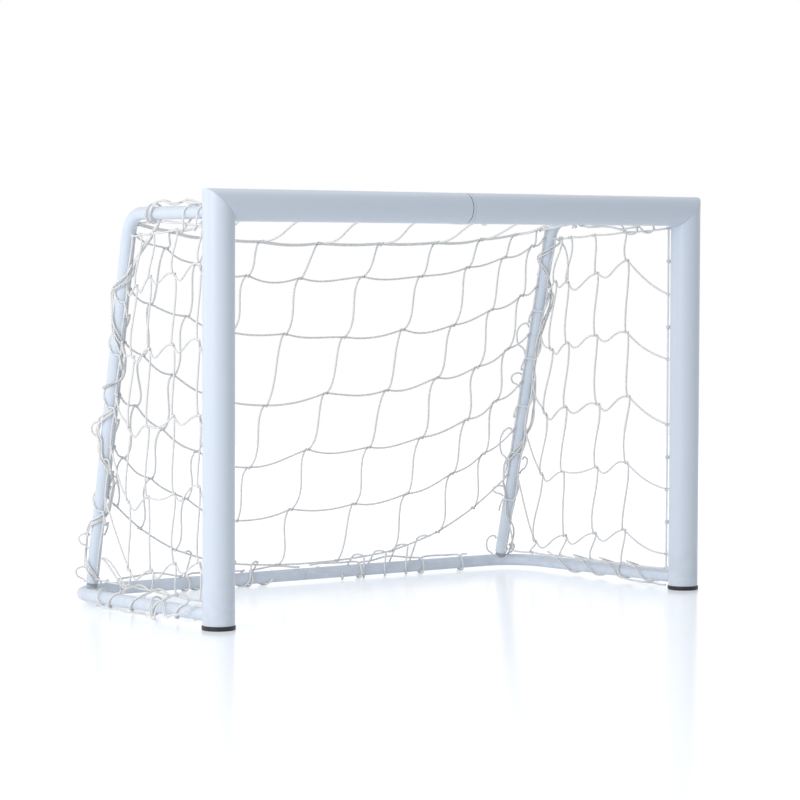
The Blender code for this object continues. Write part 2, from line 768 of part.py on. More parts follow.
def back_knot(i, j):
    """Knot i from the left and j from the top. Rows hang low at the middle and climb to the stanchions."""
    middle = FREE_EDGE if j == 0 else NET_BOTTOM + (NET_ROWS - j) * ROW_GAP
    end = stanchion_top(1).z + EDGE_RISE if j == 0 else edge_height(j - 1)
    if i in (0, NET_COLUMNS):
        return back_edge(1 if i else -1, end)
    half = back_edge(1, middle).x
    slack = COLUMN_SPREAD * (2 * i / NET_COLUMNS - 1) + COLUMN_LEAN * (1 - 2 * j / NET_ROWS)
    share = GATHER * math.tanh(slack / GATHER)
    height = middle + (end - middle) * abs(share) ** ROW_CLIMB
    dip = hump(max(j - 2, 0) / (NET_ROWS - 2)) * math.exp(-((share - SLACK_SHARE) / SLACK_WIDTH) ** 2)
    point = back_edge(1, height - SLACK_DIP * dip)
    point.x = half * share
    point.y += (1 - share ** 2) * hump(j / NET_ROWS) * BACK_BILLOW
    return point


def top_knot(i, j):
    v = j / TOP_ROWS
    rear = back_knot(i, 0) + seam_offset()
    reach = back_knot(NET_COLUMNS, 0).x
    share = rear.x / reach
    left = top_side_edge(-1, v)
    right = top_side_edge(1, v)
    point = left.lerp(right, (1 + share) / 2)
    point.z += (rear.z - top_side_edge(1, 1).z) * v - (1 - share ** 2) * hump(v) * TOP_SAG
    point.y += (rear.y - top_side_edge(1, 1).y) * v
    return point


def side_row_height(j):
    if j == 0:
        return TOP_BAR_Z - SIDE_PANEL_DROP
    if j == NET_ROWS:
        return NET_BOTTOM
    return SIDE_TOP_ROW - SIDE_ROW_GAP * (j - 1)


def side_knot(side, i, j):
    """Knot i from the post and j from the top."""
    inner_row = 0 < j < NET_ROWS
    height = side_row_height(j)
    dip = SIDE_DIP * (1 - j / NET_ROWS / 2) if inner_row else 0
    front = side_front_edge(side, height - dip)
    rear = side_rear_edge(side, edge_height(j) if j < NET_ROWS else NET_BOTTOM)
    if i == 0:
        return front
    if i == SIDE_COLUMNS:
        return rear
    first = SIDE_FIRST["right" if side > 0 else "left"]
    run = gathered(first + (i - 1) * SIDE_COLUMN_GAP, rear.y - POST_Y, SIDE_GATHER)
    share = (POST_Y + run - front.y) / (rear.y - front.y)
    point = front.lerp(rear, share)
    if inner_row:
        point.z = height - SIDE_DROP * (run - first) / (rear.y - POST_Y - first)
    point.x += side * hump(share) * hump(j / NET_ROWS) * SIDE_BILLOW
    return point


def net_panel(name, columns, rows, place, across, down, loose_edges):
    """One closed body of knots and strands.

    Each knot is a small box. Each strand is a four-sided cord from a face of one box
    to a face of the next, by way of a middle ring that droops or bows.
    """
    chance = random.Random(name)
    face = across.cross(down).normalized()
    bm = bmesh.new()
    corners = {}
    centres = {}
    for i in range(columns + 1):
        for j in range(rows + 1):
            point = place(i, j)
            if 0 < i < columns and 0 < j < rows:
                point += across * chance.uniform(-KNOT_DRIFT, KNOT_DRIFT)
                point += down * chance.uniform(-KNOT_DRIFT, KNOT_DRIFT)
            centres[i, j] = point
            for a in (-1, 1):
                for b in (-1, 1):
                    for c in (-1, 1):
                        offset = (across * a + down * b + face * c) * KNOT_HALF
                        corners[i, j, a, b, c] = bm.verts.new(point + offset)
    ring_signs = ((-1, -1), (1, -1), (1, 1), (-1, 1))

    def strand(first, second, lengthwise, droop):
        middle = (centres[first] + centres[second]) / 2 + droop
        u, v = (down, face) if lengthwise else (across, face)
        ring = [bm.verts.new(middle + (u * a + v * b) * CORD_RADIUS) for a, b in ring_signs]
        if lengthwise:
            start = [corners[first[0], first[1], 1, a, b] for a, b in ring_signs]
            end = [corners[second[0], second[1], -1, a, b] for a, b in ring_signs]
        else:
            start = [corners[first[0], first[1], a, 1, b] for a, b in ring_signs]
            end = [corners[second[0], second[1], a, -1, b] for a, b in ring_signs]
        join_rings(bm, start, ring)
        join_rings(bm, ring, end)

    for i in range(columns + 1):
        for j in range(rows + 1):
            for c in (-1, 1):
                bm.faces.new([corners[i, j, a, b, c] for a, b in ring_signs])
            if i == 0:
                bm.faces.new([corners[i, j, -1, a, b] for a, b in ring_signs])
            if i == columns:
                bm.faces.new([corners[i, j, 1, a, b] for a, b in ring_signs])
            if j == 0:
                bm.faces.new([corners[i, j, a, -1, b] for a, b in ring_signs])
            if j == rows:
                bm.faces.new([corners[i, j, a, 1, b] for a, b in ring_signs])
            on_edge = j in (0, rows) and j not in loose_edges
            droop = Vector((0, 0, 0)) if on_edge else Vector((0, 0, -STRAND_SAG))
            if i < columns:
                strand((i, j), (i + 1, j), True, droop)
            bow = across * (STRAND_BOW * chance.choice((-1, 1)))
            if i in (0, columns):
                bow = Vector((0, 0, 0))
            if j < rows:
                strand((i, j), (i, j + 1), False, bow)
    return finish(bm, name, "cord_white")


def make_net():
    x_axis = Vector((1, 0, 0))
    slope = (back_edge(1, NET_BOTTOM) - back_edge(1, CROSSBAR_Z)).normalized()
    net_panel("net_back", NET_COLUMNS, NET_ROWS, back_knot, x_axis, slope, loose_edges=(0,))
    rearward = Vector((0, 1, 0))
    net_panel("net_top", NET_COLUMNS, TOP_ROWS, top_knot, x_axis, rearward, loose_edges=(TOP_ROWS,))
    for side_name, side in SIDES.items():
        run = side_rear_edge(side, CROSSBAR_Z) - side_front_edge(side, CROSSBAR_Z)
        down = Vector((0, 0, -1))

        def place(i, j, side=side):
            return side_knot(side, i, j)

        net_panel("net_" + side_name, SIDE_COLUMNS, NET_ROWS, place, run.normalized(), down, loose_edges=())


# Lacing round the tubes

def belt(circles, reference):
    """Arcs of a belt drawn tight round circles of (x, y, radius).

    Each arc is (circle, first angle, last angle). The first arc is the one on the tube,
    which is circle 0, and its first angle is the one within half a turn of the reference.
    """
    winners = []
    for k in range(BELT_SAMPLES):
        angle = 2 * math.pi * k / BELT_SAMPLES
        reach = [x * math.cos(angle) + y * math.sin(angle) + r for x, y, r in circles]
        winners.append(reach.index(max(reach)))
    starts = [k for k in range(BELT_SAMPLES) if winners[k] != winners[k - 1]]
    arcs = []
    for n, first in enumerate(starts):
        last = starts[(n + 1) % len(starts)]
        if last <= first:
            last += BELT_SAMPLES
        arcs.append((winners[first], 2 * math.pi * first / BELT_SAMPLES, 2 * math.pi * last / BELT_SAMPLES))
    while arcs[0][0] != 0:
        which, first, last = arcs.pop(0)
        arcs.append((which, first + 2 * math.pi, last + 2 * math.pi))
    whole_turns = round((reference - arcs[0][1]) / (2 * math.pi)) * 2 * math.pi
    return [(which, first + whole_turns, last + whole_turns) for which, first, last in arcs]


def edge_at(edge, origin, normal):
    """Where an edge cord, or its first or last stretch drawn on, crosses the plane of one turn."""
    for k in range(len(edge) - 1):
        run = edge[k + 1] - edge[k]
        share = (origin - edge[k]).dot(normal) / run.dot(normal)
        if share <= 1 or k == len(edge) - 2:
            return edge[k] + run * share


def lacing_path(start, end, edges, turns, side):
    """Points of one unbroken cord that winds from start to end round a tube and its edge cords.

    The right side's turns are the mirror image of the left side's.
    """
    along = (end - start).normalized()
    u = Vector((side, 0, 0))
    if abs(along.x) > abs(along.y) + abs(along.z):
        u = Vector((0, 1, 0))
    u = (u - along * u.dot(along)).normalized()
    v = along.cross(u) * side
    pitch = (end - start).length / turns

    def circles_at(run):
        here = start + along * run
        circles = [(0, 0, LACE_PATH_R)]
        for edge in edges:
            offset = edge_at(edge, here, along) - here
            circles.append((offset.dot(u), offset.dot(v), EDGE_PATH_R))
        return circles

    points = []
    reference = None
    for turn in range(turns):
        arcs = belt(circles_at(pitch * (turn + 0.5)), 0 if reference is None else reference)
        if reference is None:
            reference = arcs[0][1]
        for which, first, last in arcs:
            steps = EDGE_STEPS if which else math.ceil((last - first) / TUBE_STEP)
            for k in range(steps + 1):
                angle = first + (last - first) * k / steps
                run = (turn + (angle - reference) / (2 * math.pi)) * pitch
                x, y, radius = circles_at(run)[which]
                offset = u * (x + radius * math.cos(angle)) + v * (y + radius * math.sin(angle))
                points.append(start + along * run + offset)
    return points


def cord_stations(points):
    """Stations along a path in space, turned as little as possible from one to the next."""
    stations = []
    u = None
    for k, point in enumerate(points):
        before = points[max(k - 1, 0)]
        after = points[min(k + 1, len(points) - 1)]
        along = ((point - before).normalized() + (after - point).normalized()).normalized()
        if u is None:
            u = along.orthogonal()
        u = (u - along * u.dot(along)).normalized()
        stations.append((point, u, along.cross(u)))
    return stations


def least_gap(points):
    """Least free space between stretches of one cord, measured on points along it."""
    samples = []
    travelled = 0
    for a, b in zip(points, points[1:]):
        for k in range(GAP_SAMPLES):
            share = k / GAP_SAMPLES
            samples.append((travelled + (b - a).length * share, a.lerp(b, share)))
        travelled += (b - a).length
    least = math.inf
    for k, (run, point) in enumerate(samples):
        for other_run, other in samples[k + 1:]:
            if other_run - run > GAP_SKIP:
                least = min(least, (other - point).length)
    return least - 2 * CORD_RADIUS


def make_lacing(name, side, first, last, turns, edges, knots, ground=None):
    """One cord wound between two points of a tube's axis.

    The cord has one turn's room to move along the tube. Of the places tried, it takes the one
    that keeps it farthest from the knots.
    """
    step = (last - first) / (turns + 1)
    widest = 0
    for k in range(LACE_TRIES + 1):
        start = first + step * k / LACE_TRIES
        path = lacing_path(start, start + step * turns, edges, turns, side)
        room = min((point - knot).length for point in path for knot in knots)
        if room > widest:
            widest = room
            points = path
    bm = bmesh.new()
    add_tube(bm, cord_stations(points), CORD_RADIUS, 0, LACE_SIDES)
    if ground is not None:
        for vert in bm.verts:
            vert.co.z = max(vert.co.z, ground)
    obj = finish(bm, name, "cord_white")
    print(f"{name}: {turns} turns, least gap to itself {least_gap(points) * 1000:.1f} mm, "
          f"{widest * 1000:.1f} mm from the knots")
    return obj


def make_lacings():
    """Cords that hold the net's edges to the rear frame."""
    for side_name, side in SIDES.items():
        selvedge = NET_COLUMNS if side > 0 else 0
        back = [back_knot(selvedge, j) for j in range(NET_ROWS + 1)]
        rear = [side_knot(side, SIDE_COLUMNS, j) for j in range(NET_ROWS + 1)]
        first = stanchion_top(side)
        last = stanchion_point(side, edge_height(NET_ROWS))
        turns = NET_ROWS - 1   # as far apart as the knots, so that each turn passes between two
        make_lacing(f"lacing_{side_name}_stanchion", side, first, last, turns, [back, rear], back + rear)

        lower = [side_knot(side, i, NET_ROWS) for i in range(SIDE_COLUMNS + 1)]
        first = side_bar_start(side)
        along = (ground_corner(side) - first).normalized()
        first += along * LACE_FROM_POST
        last = ground_corner(side) - along * GROUND_BEND
        make_lacing(f"lacing_{side_name}_ground", side, first, last, GROUND_TURNS, [lower], lower)

        upper = [top_side_edge(side, j / TOP_ROWS) for j in range(TOP_ROWS)]
        hanging = [side_knot(side, i, 0) for i in range(SIDE_COLUMNS + 1)]
        first = top_bar_start(side)
        last = Vector((first.x, upper[-1].y, first.z))
        first.y += LACE_FROM_POST
        make_lacing(f"lacing_{side_name}_top", side, first, last, TOP_TURNS, [upper, hanging], upper + hanging)

        edge = [back_knot(i, NET_ROWS) for i in range(NET_COLUMNS + 1)]
        if side < 0:
            edge.reverse()
        first = Vector((side * REAR_LACE_FROM, REAR_Y, REAR_BAR_Z))
        last = Vector((side * REAR_LACE_TO, REAR_Y, REAR_BAR_Z))
        make_lacing(f"lacing_rear_{side_name}", side, first, last, REAR_TURNS, [edge], edge, ground=0.0)


# Net hooks

def add_hook(bm, base, outward, along):
    """An open ring on a pad, drawn as one outline and given the hook's length."""
    across = outward.cross(along).normalized()
    centre = base + outward * (HOOK_BASE + HOOK_BORE)
    half = HOOK_BORE + HOOK_WALL
    first = math.pi / 2 + HOOK_MOUTH / 2
    sweep = 2 * math.pi - HOOK_MOUTH
    outline = []
    for k in range(HOOK_STEPS + 1):
        angle = first + sweep * k / HOOK_STEPS
        outline.append((HOOK_BORE * math.cos(angle), HOOK_BORE * math.sin(angle)))
    foot = -(HOOK_BASE + HOOK_BORE)
    for k in range(HOOK_STEPS, -1, -1):
        angle = first + sweep * k / HOOK_STEPS
        x = half * math.cos(angle)
        y = half * math.sin(angle)
        outline.append((x, max(y, foot)))
    rings = []
    for end in (-0.5, 0.5):
        shift = along * (HOOK_LENGTH * end)
        rings.append([bm.verts.new(centre + across * x + outward * y + shift) for x, y in outline])
    join_rings(bm, rings[0], rings[1])
    bm.faces.new(rings[0])
    bm.faces.new(rings[1])


def make_hook(name, base, outward, along):
    bm = bmesh.new()
    add_hook(bm, base, outward, along)
    finish(bm, name, "hook_plastic")


def make_hooks():
    """Hooks hold the edge cord between its knots."""
    for side_name, side in SIDES.items():
        outward = post_hook_direction(side)
        for n in range(POST_HOOKS):
            row = round((NET_ROWS - 2) * n / (POST_HOOKS - 1))
            base = post_axis(side) + outward * (FRAME_R + SEAT_GAP)
            base.z = (side_knot(side, 0, row).z + side_knot(side, 0, row + 1).z) / 2
            make_hook(f"{side_name}_post_hook_{n + 1}", base, outward, Vector((0, 0, 1)))
        outward = crossbar_hook_direction()
        for n in range(CROSSBAR_HOOKS):
            column = NET_COLUMNS // 2 + side * (n + 1)
            base = Vector((0, POST_Y, CROSSBAR_Z)) + outward * (FRAME_R + SEAT_GAP)
            base.x = (top_knot(column, 0).x + top_knot(column + 1, 0).x) / 2
            make_hook(f"{side_name}_crossbar_hook_{n + 1}", base, outward, Vector((1, 0, 0)))


def main():
    clear_scene()
    make_posts()
    make_crossbar()
    make_crossbar_sleeve()
    make_foot_caps()
    make_ground_frame()
    make_rear_sleeve()
    make_stanchions()
    make_spigots()
    make_buttons()
    make_net()
    make_lacings()
    make_hooks()


main()
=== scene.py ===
# %% [markdown]
# # A mini soccer goal, piece by piece
#
# The real goal is a frame of white painted steel tube that plugs together, with a knotted
# net of twisted cord hung in it. The CAD frame is loaded first, because it says where each
# part is. It is faceted and plain, which suits collision and not the eye, so each cell below
# makes a finer piece in the same place, in metres.

# %% Load the frame
import math
import random
import json

import bmesh
import bpy
from mathutils import Euler, Matrix, Vector


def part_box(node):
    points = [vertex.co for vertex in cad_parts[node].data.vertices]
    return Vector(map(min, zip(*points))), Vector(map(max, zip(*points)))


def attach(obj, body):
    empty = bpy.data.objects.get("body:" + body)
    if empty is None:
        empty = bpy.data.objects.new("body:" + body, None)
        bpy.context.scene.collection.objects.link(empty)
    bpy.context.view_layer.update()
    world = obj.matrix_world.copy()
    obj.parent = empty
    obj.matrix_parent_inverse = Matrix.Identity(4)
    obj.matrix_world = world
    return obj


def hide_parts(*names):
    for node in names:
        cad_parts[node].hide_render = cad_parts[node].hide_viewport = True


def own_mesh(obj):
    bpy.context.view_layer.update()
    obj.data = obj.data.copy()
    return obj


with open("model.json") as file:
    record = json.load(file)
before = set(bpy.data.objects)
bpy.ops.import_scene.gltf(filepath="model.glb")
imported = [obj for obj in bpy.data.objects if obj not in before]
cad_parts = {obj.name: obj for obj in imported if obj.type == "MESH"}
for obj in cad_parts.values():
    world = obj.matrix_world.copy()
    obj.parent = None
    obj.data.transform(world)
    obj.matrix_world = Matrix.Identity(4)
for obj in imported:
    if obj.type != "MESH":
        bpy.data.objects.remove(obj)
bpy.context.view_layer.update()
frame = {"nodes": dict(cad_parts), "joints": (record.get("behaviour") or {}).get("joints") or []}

# %% [markdown]
# ## Sizes that the pieces share
#
# The tubes, bends and nets follow the same named sizes as the CAD model. What the frame can
# tell is measured on its nodes, so that the two can't drift apart unseen.

# %% Sizes of the tubes
SIDES = {"left": -1, "right": 1}
WEST, EAST, NORTH = Vector((-1, 0, 0)), Vector((1, 0, 0)), Vector((0, 1, 0))
DOWN, SKY = Vector((0, 0, -1)), Vector((0, 0, 1))
post_low, post_high = (Vector(corner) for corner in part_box("right_post"))
bar_high = Vector(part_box("right_crossbar")[1])
FRAME_R = (post_high.y - post_low.y) / 2
POST_Y = (post_high.y + post_low.y) / 2
HALF_SPACING = post_high.x - FRAME_R
CROSSBAR_Z = bar_high.z - FRAME_R
CAP_THICK = post_low.z
FRAME_WALL = 0.0012
REAR_R = 0.0125
REAR_WALL = 0.0012
SEAT_GAP = 0.0003
COLLAR_WIDTH = 0.006
GROUND_DEPTH = 0.5515
GROUND_BEND = 0.085
SIDE_BAR_HEIGHT = 0.0240
TOP_DEPTH = 0.3775
TOP_BEND = 0.055
TOP_BAR_DROP = 0.012
TOP_BAR_Z = CROSSBAR_Z - TOP_BAR_DROP
TOP_INSET = 0.041
FOOT_INSET = 0.051
FOOT_GAP = 0.0022
REAR_Y = POST_Y + GROUND_DEPTH
collar_low, collar_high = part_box("rear_bar_sleeve")
REAR_BAR_Z = (collar_low[2] + collar_high[2]) / 2
print(f"post axis at y {POST_Y:.4f}, crossbar axis at z {CROSSBAR_Z:.4f}")
print(f"rear bar axis at y {REAR_Y:.4f} and z {REAR_BAR_Z:.4f}")

# %% [markdown]
# ## The camera
#
# The photograph looks in from the left, through a long lens, a little below the crossbar.
# A perspective fitted to the edges of the tubes gives the place, the three angles and the lens.

# %% Camera at the photograph's angle
CAMERA_PLACE = Vector((-3.4911, -4.7767, 0.6902))
YAW, PITCH, ROLL = 0.6367, 0.0498, -0.0031
LENS, SENSOR = 132.17, 36.0
camera_data = bpy.data.cameras.new("camera")
camera_data.sensor_width = SENSOR
camera_data.lens = LENS
camera_data.clip_end = 60
camera = bpy.data.objects.new("camera", camera_data)
bpy.context.scene.collection.objects.link(camera)
bpy.context.scene.camera = camera
level = Vector((math.cos(YAW), -math.sin(YAW), 0))
ahead = Vector((math.sin(YAW) * math.cos(PITCH), math.cos(YAW) * math.cos(PITCH), -math.sin(PITCH)))
plumb = ahead.cross(level)
right = level * math.cos(ROLL) + plumb * math.sin(ROLL)
up = level * math.sin(ROLL) - plumb * math.cos(ROLL)
turn = Matrix((right, up, -ahead)).transposed()
camera.matrix_world = Matrix.Translation(CAMERA_PLACE) @ turn.to_4x4()
print("camera looks along", tuple(round(c, 3) for c in ahead))

# %% [markdown]
# ## Node trees written as sums
#
# Materials and Geometry Nodes are both trees. One class adds nodes, and another wraps an
# output socket so that a line such as `1 - dirt * 0.3` adds its own Math nodes.

# %% Helpers for node trees
class Wire:
    """An output socket. Sums with it add Math nodes to its tree."""

    def __init__(self, graph, socket):
        self.graph = graph
        self.socket = socket

    def math(self, operation, first, second=0.0):
        return self.graph.node("ShaderNodeMath", {"operation": operation}, {0: first, 1: second})

    def __add__(self, other):
        return self.math("ADD", self, other)

    def __radd__(self, other):
        return self.math("ADD", other, self)

    def __sub__(self, other):
        return self.math("SUBTRACT", self, other)

    def __rsub__(self, other):
        return self.math("SUBTRACT", other, self)

    def __mul__(self, other):
        return self.math("MULTIPLY", self, other)

    def __rmul__(self, other):
        return self.math("MULTIPLY", other, self)

    def __truediv__(self, other):
        return self.math("DIVIDE", self, other)


class Graph:
    """A node tree that is filled one node at a time."""

    def __init__(self, tree):
        self.tree = tree

    def node(self, kind, settings=None, sockets=None, output=0):
        """Adds a node: its settings first, then its sockets. Returns one of its outputs."""
        made = self.tree.nodes.new(kind)
        for name, value in (settings or {}).items():
            setattr(made, name, value)
        for name, value in (sockets or {}).items():
            self.feed(made.inputs[name], value)
        return Wire(self, made.outputs[output])

    def feed(self, socket, value):
        if isinstance(value, Wire):
            self.tree.links.new(value.socket, socket)
        else:
            socket.default_value = value

    def blend(self, factor, first, second):
        """A colour between two; linked sockets of a Mix node are found by their number."""
        return self.node("ShaderNodeMix", {"data_type": "RGBA"}, {0: factor, 6: first, 7: second}, output=2)

    def unscattered(self):
        """1 on rays that come from the camera, also by way of gloss or glass, and 0 on others."""
        rays = self.tree.nodes.new("ShaderNodeLightPath").outputs
        kinds = [Wire(self, rays[f"Is {kind} Ray"]) for kind in ("Camera", "Glossy", "Transmission")]
        return kinds[0] + kinds[1] + kinds[2]


print("a graph can:", [name for name in dir(Graph) if name[0] != "_"])

# %% A material
class Finish(Graph):
    """A material with one Principled BSDF."""

    def __init__(self, name):
        self.material = bpy.data.materials.new(name)
        self.material.use_nodes = True
        super().__init__(self.material.node_tree)
        self.shader = self.tree.nodes["Principled BSDF"]
        self.place = self.node("ShaderNodeTexCoord", output="Object")

    def set(self, **values):
        """Feeds the shader's sockets; Base_Color stands for Base Color."""
        for name, value in values.items():
            self.feed(self.shader.inputs[name.replace("_", " ")], value)

    def noise(self, scale, detail, roughness=0.5, where=None):
        return self.node("ShaderNodeTexNoise", None, {
            "Vector": where or self.place, "Scale": scale, "Detail": detail, "Roughness": roughness})

    def mask(self, value, low, high):
        """0 below low and 1 above high."""
        return self.node("ShaderNodeMapRange", {"clamp": True}, {0: value, 1: low, 2: high})

    def bump(self, height, distance):
        return self.node("ShaderNodeBump", None, {"Height": height, "Distance": distance})

    def axis(self, number, point=None):
        """One coordinate of a point, which is the one on the object if no other is given."""
        return self.node("ShaderNodeSeparateXYZ", None, {0: point or self.place}, output=number)


def shaded(colour, shares):
    """A colour with each of its three parts made less."""
    return tuple(part * share for part, share in zip(colour, shares)) + (1,)


print("a finish can also:", [name for name in vars(Finish) if name[0] != "_"])

# %% [markdown]
# ## White paint on the tubes
#
# The frame is powder coated: a thick white skin with a faint blue cast, a soft gloss and the
# fine ripple that is called orange peel. A little dust settles low down. The ripple is a
# bump, because at a few hundredths of a millimetre it would be lost as real geometry. The
# sleeves in the seams have the same paint, but the groove round their collars is painted
# dark, as painted shade.

# %% Powder coat
RIPPLE_DEPTH = 0.00006
GROOVE_TOP, GROOVE_BED = 0.0002, 0.0009
DUST_HEIGHT = 0.14
CLOUD_SHARES = (0.97, 0.98, 0.995)
# The last colour here is painted shade for the groove round a sleeve's collar; dust and specks are real.
DUST, SPECK, GROOVE_SHADE = (0.52, 0.51, 0.49, 1), (0.50, 0.51, 0.53, 1), (0.075, 0.08, 0.09, 1)


def powder_coat(name, colour, dusty, groove_shade=None):
    """Powder coat. The last argument is (y, z, radius): inside that radius about an x axis the colour is
    darkened, as painted shade in a groove.
    """
    paint = Finish(name)
    cloud = paint.noise(3.5, 3.0)
    speck = paint.noise(900.0, 2.0)
    ripple = paint.noise(320.0, 2.0, 0.45)
    height = paint.axis(2)
    low = 1 - paint.mask(height, 0.0, DUST_HEIGHT)
    dust = low * paint.mask(paint.noise(38.0, 5.0, 0.65), 0.42, 0.75) * dusty
    tint = paint.blend(cloud, (*colour, 1), shaded(colour, CLOUD_SHARES))
    tint = paint.blend(dust, tint, DUST)
    tint = paint.blend(paint.mask(speck, 0.71, 0.78) * 0.10, tint, SPECK)
    # Painted shade: the groove round a collar, inside the given radius, is darkened.
    if groove_shade:
        y, z, radius = groove_shade
        across = paint.axis(1) - y
        above = height - z
        away = above.math("SQRT", across * across + above * above)
        deep = 1 - paint.mask(away, radius - GROOVE_BED, radius - GROOVE_TOP)
        tint = paint.blend(deep * (0.75 + cloud * 0.2), tint, GROOVE_SHADE)
    paint.set(Base_Color=tint, Roughness=0.30 + cloud * 0.06 + dust * 0.3,
              Normal=paint.bump(ripple + speck * 0.3, RIPPLE_DEPTH))
    return paint.material


PAINT = (0.766, 0.835, 0.930)
white_paint = powder_coat("white powder coat", PAINT, dusty=0.35)
print("made", white_paint.name)

# %% [markdown]
# ## Black foot caps, plastic hooks and steel
#
# The caps are moulded in polyethylene, with a fine grain from the mould and scuffs where they
# stand. The hooks are a clearer white plastic. Buttons are plated steel with faint stains,
# and the springs inside are blued by the rolling.

# %% Plastic and steel
GRAIN_DEPTH, BRUSH_DEPTH = 0.00005, 0.00002
SCUFF_HEIGHT, SCUFF = 0.004, (0.10, 0.10, 0.095, 1)
STAIN_SHARES = (0.55, 0.52, 0.5)


def moulded_plastic(name, dark, light, rough):
    plastic = Finish(name)
    grain = plastic.noise(1400.0, 3.0, 0.6)
    cloud = plastic.noise(26.0, 4.0, 0.6)
    near_ground = 1 - plastic.mask(plastic.axis(2), 0.0, SCUFF_HEIGHT)
    scuff = plastic.mask(plastic.noise(160.0, 4.0, 0.7), 0.58, 0.72) * near_ground
    tint = plastic.blend(cloud, (*dark, 1), (*light, 1))
    tint = plastic.blend(scuff * 0.5, tint, SCUFF)
    plastic.set(Base_Color=tint, Roughness=rough + grain * 0.14 + scuff * 0.2,
                Normal=plastic.bump(grain, GRAIN_DEPTH))
    return plastic.material


def plated_steel(name, colour, rough, spotted):
    steel = Finish(name)
    brushed = steel.noise(2200.0, 2.0)
    cloud = steel.noise(70.0, 4.0, 0.6)
    stain = steel.mask(cloud, 0.55, 0.75) * spotted
    tint = steel.blend(stain, (*colour, 1), shaded(colour, STAIN_SHARES))
    steel.set(Metallic=1.0, Base_Color=tint, Roughness=rough + brushed * 0.10 + stain * 0.2,
              Normal=steel.bump(brushed, BRUSH_DEPTH))
    return steel.material


cap_black = moulded_plastic("black polyethylene", (0.007, 0.009, 0.013), (0.012, 0.015, 0.020), rough=0.40)
hook_white = moulded_plastic("white nylon", (0.70, 0.72, 0.74), (0.76, 0.78, 0.80), rough=0.42)
button_steel = plated_steel("plated steel", (0.66, 0.67, 0.69), rough=0.20, spotted=0.25)
spring_steel = plated_steel("spring steel", (0.42, 0.43, 0.46), rough=0.30, spotted=0.5)
print("made", cap_black.name, hook_white.name, button_steel.name, spring_steel.name)

# %% [markdown]
# ## Twisted cord
#
# The net is knotted from white twisted cord, three plies laid round each other. The plies are
# real geometry, made further down. The material adds the filaments, which run along each ply,
# and the grey that gathers in the grooves. Both follow attributes that travel with the cord:
# `ply` is a point's place on the cord's own outline and `run` its distance along the cord.

# %% Cord material
FILAMENT_DEPTH = 0.0002
FILAMENT_ACROSS, FILAMENT_ALONG = 2.2, 60
GROOVE_SHARES = (0.85, 0.85, 0.85)
LIGHT_DEPTH = 0.003


def twisted_cord(name, clean, grey):
    cord = Finish(name)
    ply = cord.node("ShaderNodeAttribute", {"attribute_name": "ply"}, output="Vector")
    run = cord.node("ShaderNodeAttribute", {"attribute_name": "run"}, output="Fac")
    tone = cord.node("ShaderNodeAttribute", {"attribute_name": "tone"}, output="Fac")
    strip = cord.node("ShaderNodeCombineXYZ", None, {
        0: cord.axis(0, ply) * FILAMENT_ACROSS, 1: cord.axis(1, ply) * FILAMENT_ACROSS,
        2: run * FILAMENT_ALONG})
    filament = cord.noise(3.0, 3.0, 0.6, where=strip)
    fuzz = cord.noise(1500.0, 2.0)
    cloud = cord.noise(14.0, 3.0, 0.55)
    tint = cord.blend(cloud * 0.5 + tone * 0.5, (*clean, 1), (*grey, 1))
    tint = cord.blend(cord.mask(filament, 0.52, 0.75) * 0.16, tint, shaded(grey, GROOVE_SHARES))
    cord.set(Subsurface_Weight=0.65, Subsurface_Radius=(1.0, 1.0, 1.0), Subsurface_Scale=LIGHT_DEPTH)
    cord.set(Base_Color=tint, Roughness=0.62 + fuzz * 0.2,
             Normal=cord.bump(filament * 0.7 + fuzz * 0.3, FILAMENT_DEPTH))
    return cord.material


cord_white = twisted_cord("twisted cord", (0.975, 0.97, 0.96), (0.92, 0.91, 0.895))
print("made", cord_white.name)

# %% [markdown]
# ## Tubes
#
# A tube is a ring of points carried along a path. The same few helpers draw the straight
# front tubes, whose ends are mitred by leaning the last ring, and the bent rear ones. Each
# wall has its real thickness, so an open end looks like one, and its edges are rounded.

# %% Helpers for tubes
RIM_STEPS = [(0, 1), (0.06, 0.66), (0.29, 0.29), (0.66, 0.06), (1, 0), (3, 0)]
SHARP_EDGE = 35
DRILL_SIDES = 48
BODY = "goal"


def add_ring(bm, centre, u, v, radius, sides):
    ring = []
    for k in range(sides):
        angle = 2 * math.pi * k / sides
        point = centre + u * (radius * math.cos(angle)) + v * (radius * math.sin(angle))
        ring.append(bm.verts.new(point))
    return ring


def skin(bm, rings, looped=False):
    """Joins each ring to the next. The last meets the first again, or both ends are closed."""
    following = rings[1:] + rings[:1] if looped else rings[1:]
    for first, second in zip(rings, following):
        for k in range(len(first)):
            n = (k + 1) % len(first)
            bm.faces.new((first[k], first[n], second[n], second[k]))
    return [] if looped else [bm.faces.new(ring) for ring in (rings[0], rings[-1])]


def piece(bm, name, material, sharp=SHARP_EDGE):
    """A mesh object at the origin, smooth but for edges sharper than the given angle."""
    bmesh.ops.recalc_face_normals(bm, faces=bm.faces)
    mesh = bpy.data.meshes.new(name)
    bm.to_mesh(mesh)
    bm.free()
    mesh.shade_smooth()
    mesh.set_sharp_from_angle(angle=math.radians(sharp))
    mesh.materials.append(material)
    made = bpy.data.objects.new(name, mesh)
    bpy.context.scene.collection.objects.link(made)
    return made


